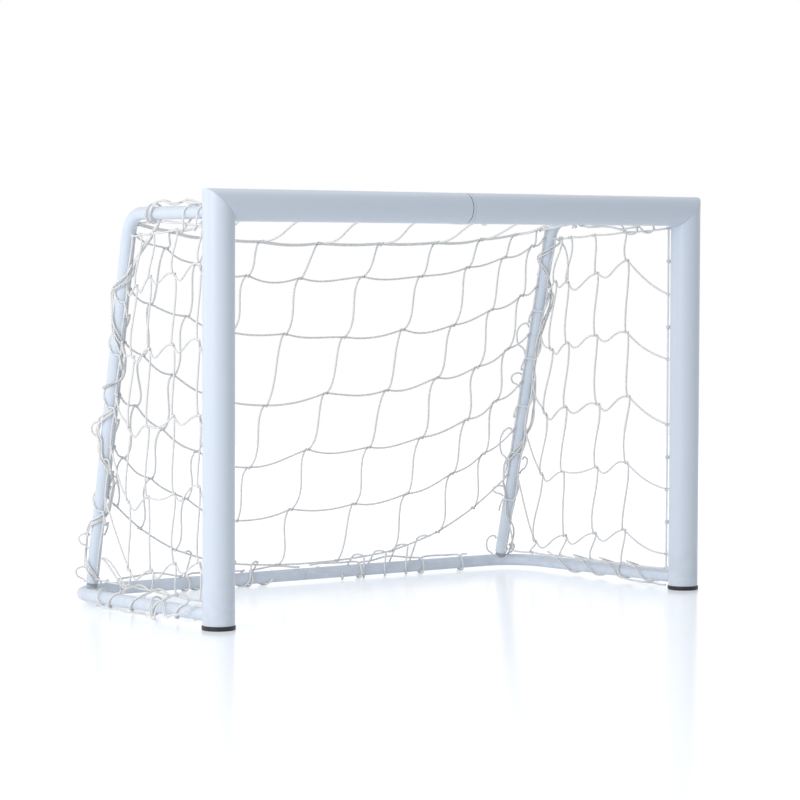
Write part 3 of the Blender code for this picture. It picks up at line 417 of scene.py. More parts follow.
def tube(name, stations, outer, wall, edges, sides):
    """A tube through stations of (centre, u, v). Edges are the roundings of its two rims."""
    outside = []
    ends = ((stations[0], stations[1], edges[0]), (stations[-1], stations[-2], edges[1]))
    for (c, u, v), beyond, edge in ends:
        into = (beyond[0] - c).normalized()
        rim = [(c + into * edge * run, u, v, outer - edge * drop) for run, drop in RIM_STEPS]
        outside += rim if not outside else [(c, u, v, outer) for c, u, v in stations[1:-1]] + rim[::-1]
    inside = [(c, u, v, outer - wall) for c, u, v in reversed(stations)]
    bm = bmesh.new()
    skin(bm, [add_ring(bm, c, u, v, r, sides) for c, u, v, r in outside + inside], looped=True)
    return piece(bm, name, white_paint)


print("a rim is rounded in", len(RIM_STEPS) - 2, "steps")

# %% Paths of tubes
def planar_stations(points, normal):
    """Stations along points in one plane, square to the path at each point."""
    normal = normal.normalized()
    stations = []
    for k, point in enumerate(points):
        before = points[max(k - 1, 0)]
        after = points[min(k + 1, len(points) - 1)]
        along = ((point - before).normalized() + (after - point).normalized()).normalized()
        stations.append((point, normal.cross(along), normal))
    return stations


def bent_path(start, corner, end, radius, steps):
    """Start to end by way of a corner that is rounded by an arc."""
    into = (corner - start).normalized()
    out = (end - corner).normalized()
    angle = into.angle(out)
    middle = (out - into).normalized()
    centre = corner + middle * (radius / math.cos(angle / 2))
    spoke = corner - into * (radius * math.tan(angle / 2)) - centre
    axis = into.cross(out).normalized()
    arc = [centre + Matrix.Rotation(angle * k / steps, 3, axis) @ spoke for k in range(steps + 1)]
    return [start] + arc + [end]


example = bent_path(Vector((0, 0, 0)), EAST, EAST + NORTH, GROUND_BEND, 8)
print("a square bend leaves its straight at", tuple(round(c, 3) for c in example[1]))

# %% Holes, and what a piece stands for
def plain_mesh(made):
    """Gives an object the mesh that its modifiers make, and clears them."""
    graph = bpy.context.evaluated_depsgraph_get()
    mesh = bpy.data.meshes.new_from_object(made.evaluated_get(graph), depsgraph=graph)
    made.modifiers.clear()
    made.data = mesh


def cut_hole(made, point, out, radius, reach):
    """Drills a round hole through one wall; reach is where the drill starts and ends along out."""
    side = out.orthogonal().normalized()
    bm = bmesh.new()
    skin(bm, [add_ring(bm, point + out * run, side, out.cross(side), radius, DRILL_SIDES) for run in reach])
    drill = piece(bm, "drill", white_paint)
    step = made.modifiers.new("hole", "BOOLEAN")
    step.operation = "DIFFERENCE"
    step.solver = "EXACT"
    step.object = drill
    plain_mesh(made)
    bpy.data.objects.remove(drill, do_unlink=True)
    made.data.set_sharp_from_angle(angle=math.radians(SHARP_EDGE))


def dress(made, slot, *nodes, body=BODY):
    """Rides on a body and stands for CAD nodes, which it hides. The slot is not used."""
    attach(made, body)
    if nodes:
        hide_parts(*nodes)


print("a hole is drilled with", DRILL_SIDES, "sides")

# %% [markdown]
# ## The front frame
#
# Two posts and a crossbar in two halves. The corners are cut at 45 degrees, so the posts' top
# rings lean, and the light changes tone sharply at the joint, as on the real one. The seam at
# the middle of the crossbar is the flush collar of the sleeve inside, between two fine gaps.
# The left half stands off a little, which is the one dark line that the photograph shows.

# %% Posts and crossbar halves
FRONT_SIDES = 96
MITRE_GAP = SEAT_GAP / math.sqrt(2)
RIM = 0.0004
SEAM_RIM = 0.0007
SEAM_GAPS = {-1: 0.0016, 1: SEAT_GAP}
CORNER_STEP = 0.12
BUTTON_X = 0.045
CROSSBAR_BUTTON = Vector((BUTTON_X, POST_Y, CROSSBAR_Z))
FRONT_HOLE = (0.0051, (0.015, 0.060))
FRONT_HOLE_STEP = 0.010
for side_name, side in SIDES.items():
    foot = Vector((side * HALF_SPACING, POST_Y, CAP_THICK))
    head = Vector((side * HALF_SPACING, POST_Y, CROSSBAR_Z - MITRE_GAP))
    stations = [(foot, EAST, NORTH), (head - SKY * CORNER_STEP, EAST, NORTH),
                (head, Vector((1, 0, side)), NORTH)]
    post = tube(side_name + "_post_tube", stations, FRAME_R, FRAME_WALL, (RIM, RIM), FRONT_SIDES)
    dress(post, "frame_white", side_name + "_post")

    corner = Vector((side * (HALF_SPACING - MITRE_GAP), POST_Y, CROSSBAR_Z))
    middle = Vector((side * (COLLAR_WIDTH / 2 + SEAM_GAPS[side]), POST_Y, CROSSBAR_Z))
    length = (middle - corner).length
    along = (middle - corner).normalized()
    spots = [CORNER_STEP, length - CORNER_STEP]
    if side > 0:
        spots += [length - BUTTON_X - step for step in (FRONT_HOLE_STEP, -FRONT_HOLE_STEP)]
    stations = [(corner, NORTH, Vector((side, 0, 1)))]
    stations += [(corner + along * spot, NORTH, SKY) for spot in sorted(spots)]
    stations.append((middle, NORTH, SKY))
    bar = tube(side_name + "_crossbar_tube", stations, FRAME_R, FRAME_WALL, (RIM, SEAM_RIM), FRONT_SIDES)
    if side > 0:
        cut_hole(bar, CROSSBAR_BUTTON, DOWN, *FRONT_HOLE)
    dress(bar, "frame_white", side_name + "_crossbar")
print("front tubes with", FRONT_SIDES, "sides")

# %% Turned shapes and the crossbar's sleeve
SLEEVE_R = FRAME_R - FRAME_WALL - SEAT_GAP
SPIGOT_R = REAR_R - REAR_WALL - SEAT_GAP
SPIGOT_WALL = 0.0015
COLLAR_RIM = 0.0006
CROSSBAR_SLEEVE, REAR_SLEEVE = 0.080, 0.060
GRIMY = 0.35


def turned(name, profile, sides, place, material, closed=False):
    """Turns (radius, height) points about an axis and puts the result in place."""
    u = place.to_3x3() @ EAST
    v = place.to_3x3() @ NORTH
    bm = bmesh.new()
    rings = [add_ring(bm, place @ Vector((0, 0, height)), u, v, radius, sides) for radius, height in profile]
    skin(bm, rings, looped=closed)
    return piece(bm, name, material)


def sleeve(name, node, y, z, outer, collar, reach, sides, hole):
    """A sleeve along x, with a collar that closes the seam flush, and a button's hole."""
    half = COLLAR_WIDTH / 2
    profile = [(outer - SPIGOT_WALL, -half - reach), (outer, -half - reach), (outer, -half)]
    profile += [(collar - COLLAR_RIM, -half), (collar, -half + COLLAR_RIM), (collar, half - COLLAR_RIM)]
    profile += [(collar - COLLAR_RIM, half), (outer, half), (outer, half + reach)]
    profile.append((outer - SPIGOT_WALL, half + reach))
    place = Matrix.Translation((0, y, z)) @ Matrix.Rotation(math.pi / 2, 4, "Y")
    # The groove round the collar gets painted shade.
    paint = powder_coat(node.replace("_", " ") + " paint", PAINT, GRIMY, (y, z, collar))
    made = turned(name, profile, sides, place, paint, closed=True)
    cut_hole(made, *hole)
    dress(made, "frame_white", node)
    print(name, "has", len(made.data.polygons), "faces")


sleeve("crossbar_joint", "crossbar_sleeve", POST_Y, CROSSBAR_Z, SLEEVE_R, FRAME_R, CROSSBAR_SLEEVE,
       FRONT_SIDES, (CROSSBAR_BUTTON, DOWN, *FRONT_HOLE))

# %% [markdown]
# ## The foot caps
#
# Each post stands on a black plug. What shows is a flange a little wider than the tube, with a
# rounded lower edge. Inside the post it grips with two ribs, which a profile on a lathe gives
# for nothing.

# %% Caps
CAP_LIP = 0.0015
CAP_R = FRAME_R + CAP_LIP
CAP_EDGE = 0.0020
CAP_CHAMFER = 0.0009
CAP_PLUG = 0.024
CAP_RIBS = (0.0085, 0.0180)
RIB = 0.0007
PLUG_EDGE, PLUG_WALL, PLUG_FLOOR = 0.001, 0.0025, 0.004


def arc_profile(centre_r, centre_z, radius, first, last, steps):
    """Points of a quarter or so of a circle, for the profile of a turned shape."""
    points = []
    for k in range(steps + 1):
        angle = math.radians(first + (last - first) * k / steps)
        points.append((centre_r + radius * math.cos(angle), centre_z + radius * math.sin(angle)))
    return points


plug = FRAME_R - FRAME_WALL - SEAT_GAP - RIB
shoulder = CAP_THICK - SEAT_GAP
top = CAP_THICK + CAP_PLUG
profile = arc_profile(CAP_R - CAP_EDGE, CAP_EDGE, CAP_EDGE, -90, 0, 5)
profile += arc_profile(CAP_R - CAP_CHAMFER, shoulder - CAP_CHAMFER, CAP_CHAMFER, 0, 90, 4)
profile.append((plug, shoulder))
for rib in CAP_RIBS:
    profile += [(plug + out, CAP_THICK + rib + rise) for out, rise in ((0, -RIB), (RIB, 0), (0, RIB))]
profile += [(plug, top - PLUG_EDGE), (plug - PLUG_EDGE, top), (plug - PLUG_WALL, top)]
profile.append((plug - PLUG_WALL, PLUG_FLOOR))
for side_name, side in SIDES.items():
    place = Matrix.Translation((side * HALF_SPACING, POST_Y, 0))
    dress(turned(side_name + "_cap", profile, FRONT_SIDES, place, cap_black), "cap_black",
          side_name + "_foot_cap")
print("cap flange", round(CAP_R * 2000, 1), "mm across")

# %% [markdown]
# ## The rear frame
#
# Thinner tube, bent cold. Each half of the ground frame is one tube from the post round the
# corner to the middle of the rear bar. Each stanchion is one tube too: back from the crossbar,
# round a bend and down at a lean to its foot on the ground frame.

# %% Where the rear tubes run
def side_bar_start(side):
    return Vector((side * HALF_SPACING, POST_Y + FRAME_R + SEAT_GAP, SIDE_BAR_HEIGHT))


def ground_corner(side):
    return Vector((side * HALF_SPACING, REAR_Y, REAR_BAR_Z))


def foot_point(side):
    short = max(GROUND_BEND - FOOT_INSET, 0)
    back = GROUND_BEND - math.sqrt(GROUND_BEND ** 2 - short ** 2)
    return Vector((side * (HALF_SPACING - FOOT_INSET), REAR_Y - back, REAR_BAR_Z))


def top_corner(side):
    return Vector((side * (HALF_SPACING - TOP_INSET), POST_Y + TOP_DEPTH, TOP_BAR_Z))


def top_bar_start(side):
    return Vector((side * (HALF_SPACING - TOP_INSET), POST_Y + FRAME_R + SEAT_GAP, TOP_BAR_Z))


def stanchion_end(side):
    rise = (top_corner(side) - foot_point(side)).normalized()
    lean = math.sqrt(1 - rise.z ** 2)
    return foot_point(side) + rise * (REAR_R / rise.z + REAR_R * lean / rise.z + FOOT_GAP)


def stanchion_top(side):
    down = (stanchion_end(side) - top_corner(side)).normalized()
    angle = NORTH.angle(down)
    return top_corner(side) + down * (TOP_BEND * math.tan(angle / 2))


for side in SIDES.values():
    print("stanchion from", tuple(round(c, 4) for c in stanchion_top(side)),
          "to", tuple(round(c, 4) for c in stanchion_end(side)))

# %% Ground frame, rear sleeve and stanchions
REAR_SIDES = 48
BEND_STEPS = 20
BUTTON_FROM_END = 0.050
REAR_BUTTON_X = 0.035
REAR_BUTTON = Vector((REAR_BUTTON_X, REAR_Y, REAR_BAR_Z))
SMALL_HOLE = (0.0041, (0.006, 0.030))
SMALL_HOLE_STEP = 0.008
buttons = {"crossbar_button": (CROSSBAR_BUTTON, DOWN, WEST), "rear_bar_button": (REAR_BUTTON, SKY, WEST)}


def bent_bar(name, node, button, start, corner, end, radius, normal, at_seam):
    """A bent tube with a button's hole near its start and, at the rear seam, one near its end."""
    along = (corner - start).normalized()
    path = bent_path(start, corner, end, radius, BEND_STEPS)
    path[1:1] = [start + along * (BUTTON_FROM_END + step) for step in (-SMALL_HOLE_STEP, SMALL_HOLE_STEP)]
    if at_seam:
        path[-1:-1] = [Vector((REAR_BUTTON_X + step, REAR_Y, REAR_BAR_Z))
                       for step in (SMALL_HOLE_STEP, -SMALL_HOLE_STEP)]
    bar = tube(name, planar_stations(path, normal), REAR_R, REAR_WALL, (RIM, SEAM_RIM), REAR_SIDES)
    buttons[button] = (start + along * BUTTON_FROM_END, DOWN, -along)
    cut_hole(bar, *buttons[button][:2], *SMALL_HOLE)
    if at_seam:
        cut_hole(bar, REAR_BUTTON, SKY, *SMALL_HOLE)
    dress(bar, "frame_white", node)


for side_name, side in SIDES.items():
    start, corner = side_bar_start(side), ground_corner(side)
    end = Vector((side * (COLLAR_WIDTH / 2 + SEAT_GAP), REAR_Y, REAR_BAR_Z))
    bent_bar(side_name + "_ground_tube", side_name + "_ground_bar", side_name + "_ground_button",
             start, corner, end, GROUND_BEND, EAST.cross(corner - start), side > 0)
    start, corner, end = top_bar_start(side), top_corner(side), stanchion_end(side)
    bent_bar(side_name + "_stanchion_tube", side_name + "_stanchion", side_name + "_top_button",
             start, corner, end, TOP_BEND, NORTH.cross(end - corner), False)
sleeve("rear_bar_joint", "rear_bar_sleeve", REAR_Y, REAR_BAR_Z, SPIGOT_R, REAR_R, REAR_SLEEVE,
       REAR_SIDES, (REAR_BUTTON, SKY, *SMALL_HOLE))
print("rear frame made;", len(buttons), "buttons to come")

# %% [markdown]
# ## Snap buttons
#
# A button is a small plated plunger with a rounded end, on a flange that bears on the inside
# of the tube. It slides on its own joint, so each one rides on its own body. Behind it a V of
# flat spring steel is folded in the tube.

# %% Buttons
BUTTON_SIDES = 40
FLANGE_LIP, FLANGE_THICK = 0.0018, 0.0012
DOME, DOME_STEPS, DOME_SHARE = 0.0019, 8, 0.55
CROSSBAR_SNAP = (0.0048, 0.0030, FRAME_R, SLEEVE_R - SPIGOT_WALL)
SMALL_SNAP = (0.0038, 0.0025, REAR_R, SPIGOT_R - SPIGOT_WALL)


def button_profile(radius, rise, tube_r, bore_r):
    """From the flange, which is set to the bore's curve at its rim, to the rounded end."""
    flange = radius + FLANGE_LIP
    seat = math.sqrt(bore_r ** 2 - flange ** 2) - SEAT_GAP
    profile = [(flange, seat - FLANGE_THICK), (flange, seat), (radius, seat)]
    for k in range(DOME_STEPS + 1):
        angle = math.pi / 2 * k / DOME_STEPS
        out = radius * (1 - DOME_SHARE + DOME_SHARE * math.cos(angle))
        profile.append((out, tube_r + rise - DOME + DOME * math.sin(angle)))
    return profile


flange_bottoms = {}
for name, (point, out, _) in sorted(buttons.items()):
    profile = button_profile(*(CROSSBAR_SNAP if name == "crossbar_button" else SMALL_SNAP))
    flange_bottoms[name] = profile[0][1]
    side = out.orthogonal().normalized()
    place = Matrix((side, out.cross(side), out)).transposed().to_4x4()
    place.translation = point
    plunger = turned(name + "_plunger", profile, BUTTON_SIDES, place, button_steel)
    dress(plunger, "button_steel", name, body=name)
    print(name, "ends", round(profile[-1][1] * 1000, 1), "mm from its tube's axis")

# %% Leaf springs
LEAF_THICK, LEAF_WIDTH, LEAF_EDGE = 0.0008, 0.0060, 0.0002
LEAF_TIP = 0.0055
LEAF_BEND, LEAF_STEPS = 0.0030, 16
CROSSBAR_LEAF_REACH, LEAF_REACH = 0.055, 0.026


def leaf_section(off, wide):
    """Offsets of a flat strip's section, with its four edges taken off."""
    inner_off = off * (1 - 2 * LEAF_EDGE / LEAF_THICK)
    inner_wide = wide * (1 - 2 * LEAF_EDGE / LEAF_WIDTH)
    upper = [inner_wide + off, wide + inner_off, wide - inner_off, inner_wide - off]
    return upper + [-offset for offset in upper]


def leaf_spring(name, point, out, along, bore_r, reach):
    """A V of flat spring steel: one leaf under the button, the other on the far side of the bore.

    It can't ride on the button, which moves one of its leaves only. How much of its height the button's
    travel would leave is worked out and printed.
    """
    half = LEAF_THICK / 2
    near = flange_bottoms[name] - SEAT_GAP - half
    far = half + SEAT_GAP - math.sqrt(bore_r ** 2 - (LEAF_WIDTH / 2) ** 2)
    middle = (near + far) / 2
    places = [(-LEAF_TIP, near), (LEAF_TIP, near)]
    for k in range(LEAF_STEPS + 1):
        angle = math.pi / 2 - math.pi * k / LEAF_STEPS
        places.append((reach + LEAF_BEND * math.cos(angle), middle + LEAF_BEND * math.sin(angle)))
    places += [(LEAF_TIP, far), (-LEAF_TIP, far)]
    centres = [point + along * run + out * height for run, height in places]
    bm = bmesh.new()
    rings = []
    for centre, off, wide in planar_stations(centres, along.cross(out)):
        section = leaf_section(off * half, wide * (LEAF_WIDTH / 2))
        rings.append([bm.verts.new(centre + offset) for offset in section])
    skin(bm, rings)
    made = piece(bm, name + "_leaf", spring_steel)
    dress(made, "spring_steel", name + "_spring")
    travel = next(joint["range_m"][1] for joint in frame["joints"] if joint["name"] == name + "_press")
    keep = 1 - travel / (near - far + LEAF_THICK)
    name + "_press"
    point + out * (far - half)
    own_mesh(made)
    print(f"{made.name}: {travel * 1000:.1f} mm of travel leaves {keep:.2f} of its height")


for name, (point, out, along) in sorted(buttons.items()):
    if name == "crossbar_button":
        leaf_spring(name, point, out, along, CROSSBAR_SNAP[-1], CROSSBAR_LEAF_REACH)
    else:
        leaf_spring(name, point, out, along, SMALL_SNAP[-1], LEAF_REACH)

# %% [markdown]
# ## What stays from the CAD model
#
# The spigots are inside the tubes, and their CAD solids have the right shape. They keep it and
# get a better finish through their material slots. The spigots under the stanchions are painted
# a darker grey, as painted shade, so each foot shows the dark line of the gap.

# %% Finishes for carried-over nodes
# Painted shade: the foot spigots get a grey paint so the gap at each foot reads as a dark line; the dust on
# it is real.
spigot_shade_paint = powder_coat("worn paint in the feet", (0.36, 0.38, 0.41), dusty=0.8)
carried = [name for name in frame["nodes"] if name.endswith("_spigot")]
for name in carried:
    for slot in frame["nodes"][name].material_slots:
        slot.material = spigot_shade_paint if name.endswith("_foot_spigot") else white_paint
print("carried over:", ", ".join(carried))

# %% [markdown]
# ## Where the net hangs
#
# The net is four panels of square mesh. Along the posts and the crossbar its edge cord lies in
# small hooks, and along the rear frame it is laced to the tubes. Slack net crowds towards its
# edges: the columns of the back come closer and its rows climb as they near the stanchions.
# One rule gives every knot's place, the same rule as the CAD net's, but for the middle row of
# the top: it is drawn tighter here, as in the photograph, where the crossbar hides it.

# %% Edges of the net
CORD_R = 0.0022
NET_COLUMNS, NET_ROWS, TOP_ROWS, SIDE_COLUMNS = 10, 6, 2, 5
EDGE_STANDOFF = 0.0165
COLUMN_SPREAD = 1.505
COLUMN_LEAN = 0.152
GATHER = 1.18
ROW_GAP = 0.120
FREE_EDGE = 0.709
EDGE_RISE = 0.022
BACK_FOOT = 0.205
ROW_CLIMB = 3
BACK_BILLOW = 0.012
SLACK_DIP, SLACK_SHARE, SLACK_WIDTH = 0.042, -0.39, 0.22
SIDE_FIRST = {-1: 0.100, 1: 0.155}
SIDE_COLUMN_GAP = 0.095
SIDE_GATHER = 0.10
SIDE_TOP_ROW = 0.672
SIDE_ROW_GAP = 0.140
SIDE_DIP = 0.070
SIDE_DROP = 0.050
SIDE_BILLOW = 0.010
TOP_RISE = 0.010
KNOT_DRIFT = 0.006
SEAM_STEP = Vector((0, -0.0062, 0.0021))
SIDE_PANEL_DROP = 0.022
NET_BOTTOM = 0.042
HOOK_BASE, HOOK_BORE, HOOK_WALL, HOOK_LENGTH = 0.0020, 0.0027, 0.0018, 0.0070
HOOK_TURN = math.radians(40)
CROSSBAR_HOOK_DROP = math.radians(20)
HOOK_STANDOFF = SEAT_GAP + HOOK_BASE + HOOK_BORE


def stanchion_line(side, offset, height):
    top = stanchion_top(side) + offset
    end = stanchion_end(side) + offset
    return top.lerp(end, (top.z - height) / (top.z - end.z))


def back_edge(side, height):
    return stanchion_line(side, Vector((-side * EDGE_STANDOFF, 0, 0)), height)


def side_rear_edge(side, height):
    down = (stanchion_end(side) - stanchion_top(side)).normalized()
    forward = -NORTH
    forward -= down * forward.dot(down)
    return stanchion_line(side, forward.normalized() * EDGE_STANDOFF, height)


def edge_height(k):
    top = stanchion_top(1).z
    return top + (BACK_FOOT - top) * k / (NET_ROWS - 1)


def post_hook_direction(side):
    return Vector((-side * math.sin(HOOK_TURN), math.cos(HOOK_TURN), 0))


def side_front_edge(side, height):
    point = Vector((side * HALF_SPACING, POST_Y, 0)) + post_hook_direction(side) * (FRAME_R + HOOK_STANDOFF)
    point.z = height
    return point


CROSSBAR_HOOK_WAY = Vector((0, math.cos(CROSSBAR_HOOK_DROP), -math.sin(CROSSBAR_HOOK_DROP)))


def top_front_edge(side):
    point = Vector((0, POST_Y, CROSSBAR_Z)) + CROSSBAR_HOOK_WAY * (FRAME_R + HOOK_STANDOFF)
    point.x = side * (HALF_SPACING - TOP_INSET - EDGE_STANDOFF)
    return point


def top_side_edge(side, share):
    front = top_front_edge(side)
    rear = back_knot(NET_COLUMNS if side > 0 else 0, 0) + SEAM_STEP
    bar_share = (TOP_ROWS - 1) / TOP_ROWS
    bar_end = Vector((front.x, front.y + (rear.y - front.y) * bar_share, TOP_BAR_Z))
    if share <= bar_share:
        return front.lerp(bar_end, share / bar_share)
    return bar_end.lerp(rear, (share - bar_share) / (1 - bar_share))


beside = back_edge(1, stanchion_top(1).z)
print("edge cord beside a stanchion at its top:", tuple(round(c, 4) for c in beside))

# %% Places of the knots
def hump(share):
    """0 at both ends of a run and 1 at its middle."""
    return 4 * share * (1 - share)


def gathered(place, limit, gather):
    """Crowds places towards a limit that they never reach."""
    free = limit - gather
    if place <= free:
        return place
    return free + gather * (1 - math.exp((free - place) / gather))


def back_knot(i, j):
    middle = FREE_EDGE if j == 0 else NET_BOTTOM + (NET_ROWS - j) * ROW_GAP
    end = stanchion_top(1).z + EDGE_RISE if j == 0 else edge_height(j - 1)
    if i in (0, NET_COLUMNS):
        return back_edge(1 if i else -1, end)
    half = back_edge(1, middle).x
    slack = COLUMN_SPREAD * (2 * i / NET_COLUMNS - 1) + COLUMN_LEAN * (1 - 2 * j / NET_ROWS)
    share = GATHER * math.tanh(slack / GATHER)
    height = middle + (end - middle) * abs(share) ** ROW_CLIMB
    dip = hump(max(j - 2, 0) / (NET_ROWS - 2)) * math.exp(-((share - SLACK_SHARE) / SLACK_WIDTH) ** 2)
    point = back_edge(1, height - SLACK_DIP * dip)
    point.x = half * share
    point.y += (1 - share ** 2) * hump(j / NET_ROWS) * BACK_BILLOW
    return point


def top_knot(i, j):
    v = j / TOP_ROWS
    rear = back_knot(i, 0) + SEAM_STEP
    share = rear.x / back_knot(NET_COLUMNS, 0).x
    point = top_side_edge(-1, v).lerp(top_side_edge(1, v), (1 + share) / 2)
    point.z += (rear.z - top_side_edge(1, 1).z) * v + (1 - share ** 2) * hump(v) * TOP_RISE
    point.y += (rear.y - top_side_edge(1, 1).y) * v
    return point


def side_knot(side, i, j):
    inner_row = 0 < j < NET_ROWS
    height = SIDE_TOP_ROW - SIDE_ROW_GAP * (j - 1)
    if not inner_row:
        height = NET_BOTTOM if j else TOP_BAR_Z - SIDE_PANEL_DROP
    dip = SIDE_DIP * (1 - j / NET_ROWS / 2) if inner_row else 0
    front = side_front_edge(side, height - dip)
    rear = side_rear_edge(side, edge_height(j) if j < NET_ROWS else NET_BOTTOM)
    if i in (0, SIDE_COLUMNS):
        return rear if i else front
    first = SIDE_FIRST[side]
    run = gathered(first + (i - 1) * SIDE_COLUMN_GAP, rear.y - POST_Y, SIDE_GATHER)
    share = (POST_Y + run - front.y) / (rear.y - front.y)
    point = front.lerp(rear, share)
    if inner_row:
        point.z = height - SIDE_DROP * (run - first) / (rear.y - POST_Y - first)
    point.x += side * hump(share) * hump(j / NET_ROWS) * SIDE_BILLOW
    return point


print("middle of the free edge hangs at", round(back_knot(5, 0).z, 3))

# %% [markdown]
# ## From lines to twisted cord
#
# Python knows where the cords run, and Geometry Nodes turn each line into rope: the line is cut
# into even steps, turned a little further at each one, and swept with an outline of three
# lobes. That is how a ropewalk lays three plies. A second branch of the same tree sets a knot
# on every point that is marked as one.

# %% Helpers for geometry trees
def new_tree(name, inputs):
    tree = bpy.data.node_groups.new(name, "GeometryNodeTree")
    tree.is_modifier = True
    tree.interface.new_socket("Geometry", in_out="INPUT", socket_type="NodeSocketGeometry")
    for socket, kind in inputs:
        tree.interface.new_socket(socket, in_out="INPUT", socket_type="NodeSocket" + kind)
    tree.interface.new_socket("Geometry", in_out="OUTPUT", socket_type="NodeSocketGeometry")
    graph = Graph(tree)
    entry = tree.nodes.new("NodeGroupInput")
    wires = {socket.name: Wire(graph, socket) for socket in entry.outputs if socket.name}
    return graph, wires


def end_tree(graph, geometry, finish):
    """Every tree ends in real geometry with its finish on it."""
    real = graph.node("GeometryNodeRealizeInstances", None, {0: geometry})
    done = graph.node("GeometryNodeSetMaterial", None, {"Geometry": real, "Material": finish})
    leave = graph.tree.nodes.new("NodeGroupOutput")
    graph.feed(leave.inputs[0], done)
    return graph.tree


def instances(graph, given, pattern, chosen=True):
    """The pattern on every chosen point, with the turn that the point holds."""
    shape = graph.node("GeometryNodeObjectInfo", None, {"Object": given[pattern]}, output="Geometry")
    way = graph.node("GeometryNodeInputNamedAttribute", {"data_type": "FLOAT_VECTOR"}, {"Name": "turn"})
    return graph.node("GeometryNodeInstanceOnPoints", None, {
        "Points": given["Geometry"], "Selection": chosen, "Instance": shape, "Rotation": way})


def run_tree(made, tree, **inputs):
    """Runs a tree on an object and leaves the plain mesh it makes."""
    step = made.modifiers.new("make", "NODES")
    step.node_group = tree
    for socket in tree.interface.items_tree:
        wanted = socket.name.replace(" ", "_")
        if socket.in_out == "INPUT" and wanted in inputs:
            step[socket.identifier] = inputs[wanted]
    plain_mesh(made)
    return made


print("geometry trees so far:", len(bpy.data.node_groups))

# %% The cord tree
LAY, STEPS_PER_LAY = 0.0150, 8
OUTLINE_POINTS, LOBE_DEPTH = 9, 0.13


def cord_tree():
    graph, given = new_tree("twisted cord and knots", [
        ("Cord radius", "Float"), ("Lay", "Float"), ("Knot", "Object"), ("Finish", "Material")])
    lines = graph.node("GeometryNodeMeshToCurve", None, {0: given["Geometry"]})
    even = graph.node("GeometryNodeResampleCurve", {"mode": "LENGTH"}, {
        "Curve": lines, "Length": given["Lay"] / STEPS_PER_LAY})
    run = graph.node("GeometryNodeSplineParameter", output="Length")
    turned_line = graph.node("GeometryNodeSetCurveTilt", None, {
        "Curve": even, "Tilt": run / given["Lay"] * (2 * math.pi)})
    store = "GeometryNodeStoreNamedAttribute"
    marked = graph.node(store, {"data_type": "FLOAT", "domain": "POINT"}, {
        "Geometry": turned_line, "Name": "run", "Value": run})
    circle = graph.node("GeometryNodeCurvePrimitiveCircle", {"mode": "RADIUS"}, {
        "Resolution": OUTLINE_POINTS, "Radius": 1.0})
    place = graph.node("GeometryNodeInputPosition")
    outline = graph.node(store, {"data_type": "FLOAT_VECTOR", "domain": "POINT"}, {
        "Geometry": circle, "Name": "ply", "Value": place})
    index = graph.node("GeometryNodeInputIndex")
    third = index.math("MODULO", index, 3.0)
    lobe = 1 - third.math("MINIMUM", third, 1.0) * LOBE_DEPTH
    scaled = graph.node("ShaderNodeVectorMath", {"operation": "SCALE"}, {
        0: place, "Scale": lobe * given["Cord radius"]})
    outline = graph.node("GeometryNodeSetPosition", None, {"Geometry": outline, "Position": scaled})
    rope = graph.node("GeometryNodeCurveToMesh", None, {
        "Curve": marked, "Profile Curve": outline, "Fill Caps": True})
    is_knot = graph.node("GeometryNodeInputNamedAttribute", {"data_type": "BOOLEAN"}, {"Name": "knot"})
    knots = instances(graph, given, "Knot", is_knot)
    both = graph.tree.nodes.new("GeometryNodeJoinGeometry")
    for branch in (rope, knots):
        graph.tree.links.new(branch.socket, both.inputs[0])
    smooth = graph.node("GeometryNodeSetShadeSmooth", None, {0: Wire(graph, both.outputs[0])})
    return end_tree(graph, smooth, given["Finish"])


rope_tree = cord_tree()
print(rope_tree.name, "has", len(rope_tree.nodes), "nodes")

# %% The knot
KNOT_STEPS, KNOT_SIDES = 15, 4
KNOT_HALF = (0.0046, 0.0014, 0.0021)
KNOT_CORD_R = 0.0017
RING_WAY = Vector((0, 1, 0.3))


def knot_shape():
    """Two tight loops side by side, as a netting knot looks once it is drawn tight."""
    wide, deep, high = KNOT_HALF
    points = []
    for k in range(KNOT_STEPS):
        t = 2 * math.pi * k / KNOT_STEPS
        points.append(Vector((wide * math.cos(t), deep * math.sin(3 * t), high * math.sin(2 * t))))
    bm = bmesh.new()
    rings = []
    for k, point in enumerate(points):
        along = (points[(k + 1) % KNOT_STEPS] - points[k - 1]).normalized()
        u = along.cross(RING_WAY).normalized()
        rings.append(add_ring(bm, point, u, along.cross(u), KNOT_CORD_R, KNOT_SIDES))
    skin(bm, rings, looped=True)
    return piece(bm, "knot_shape", cord_white, sharp=180)


knot_pattern = knot_shape()
print("knot pattern has", len(knot_pattern.data.polygons), "faces")

# %% [markdown]
# ## How one leg of the net runs
#
# Between two knots a cord isn't straight. A netting knot sends its legs out sideways: a column
# leaves to the left, drops, and comes into the next knot from the right. Rows pass through
# nearly level and sag. A cubic curve with a direction at each end gives both, and gravity adds
# its own droop.

# %% Lines of cord
LEG_STEP = 0.006


def leg(start, start_way, end, end_way, sag):
    """Points of a cubic curve from start to end, with some droop."""
    first = start + start_way
    second = end - end_way
    steps = max(4, round((end - start).length / LEG_STEP))
    points = []
    for k in range(steps + 1):
        t = k / steps
        s = 1 - t
        point = start * s ** 3 + first * (3 * t * s ** 2) + second * (3 * t * t * s) + end * t ** 3
        point.z -= sag * hump(t)
        points.append(point)
    return points


def on_floor(points):
    """The same points, but none lower than a cord that lies on the floor."""
    return [(x, y, max(z, CORD_R)) for x, y, z in points]


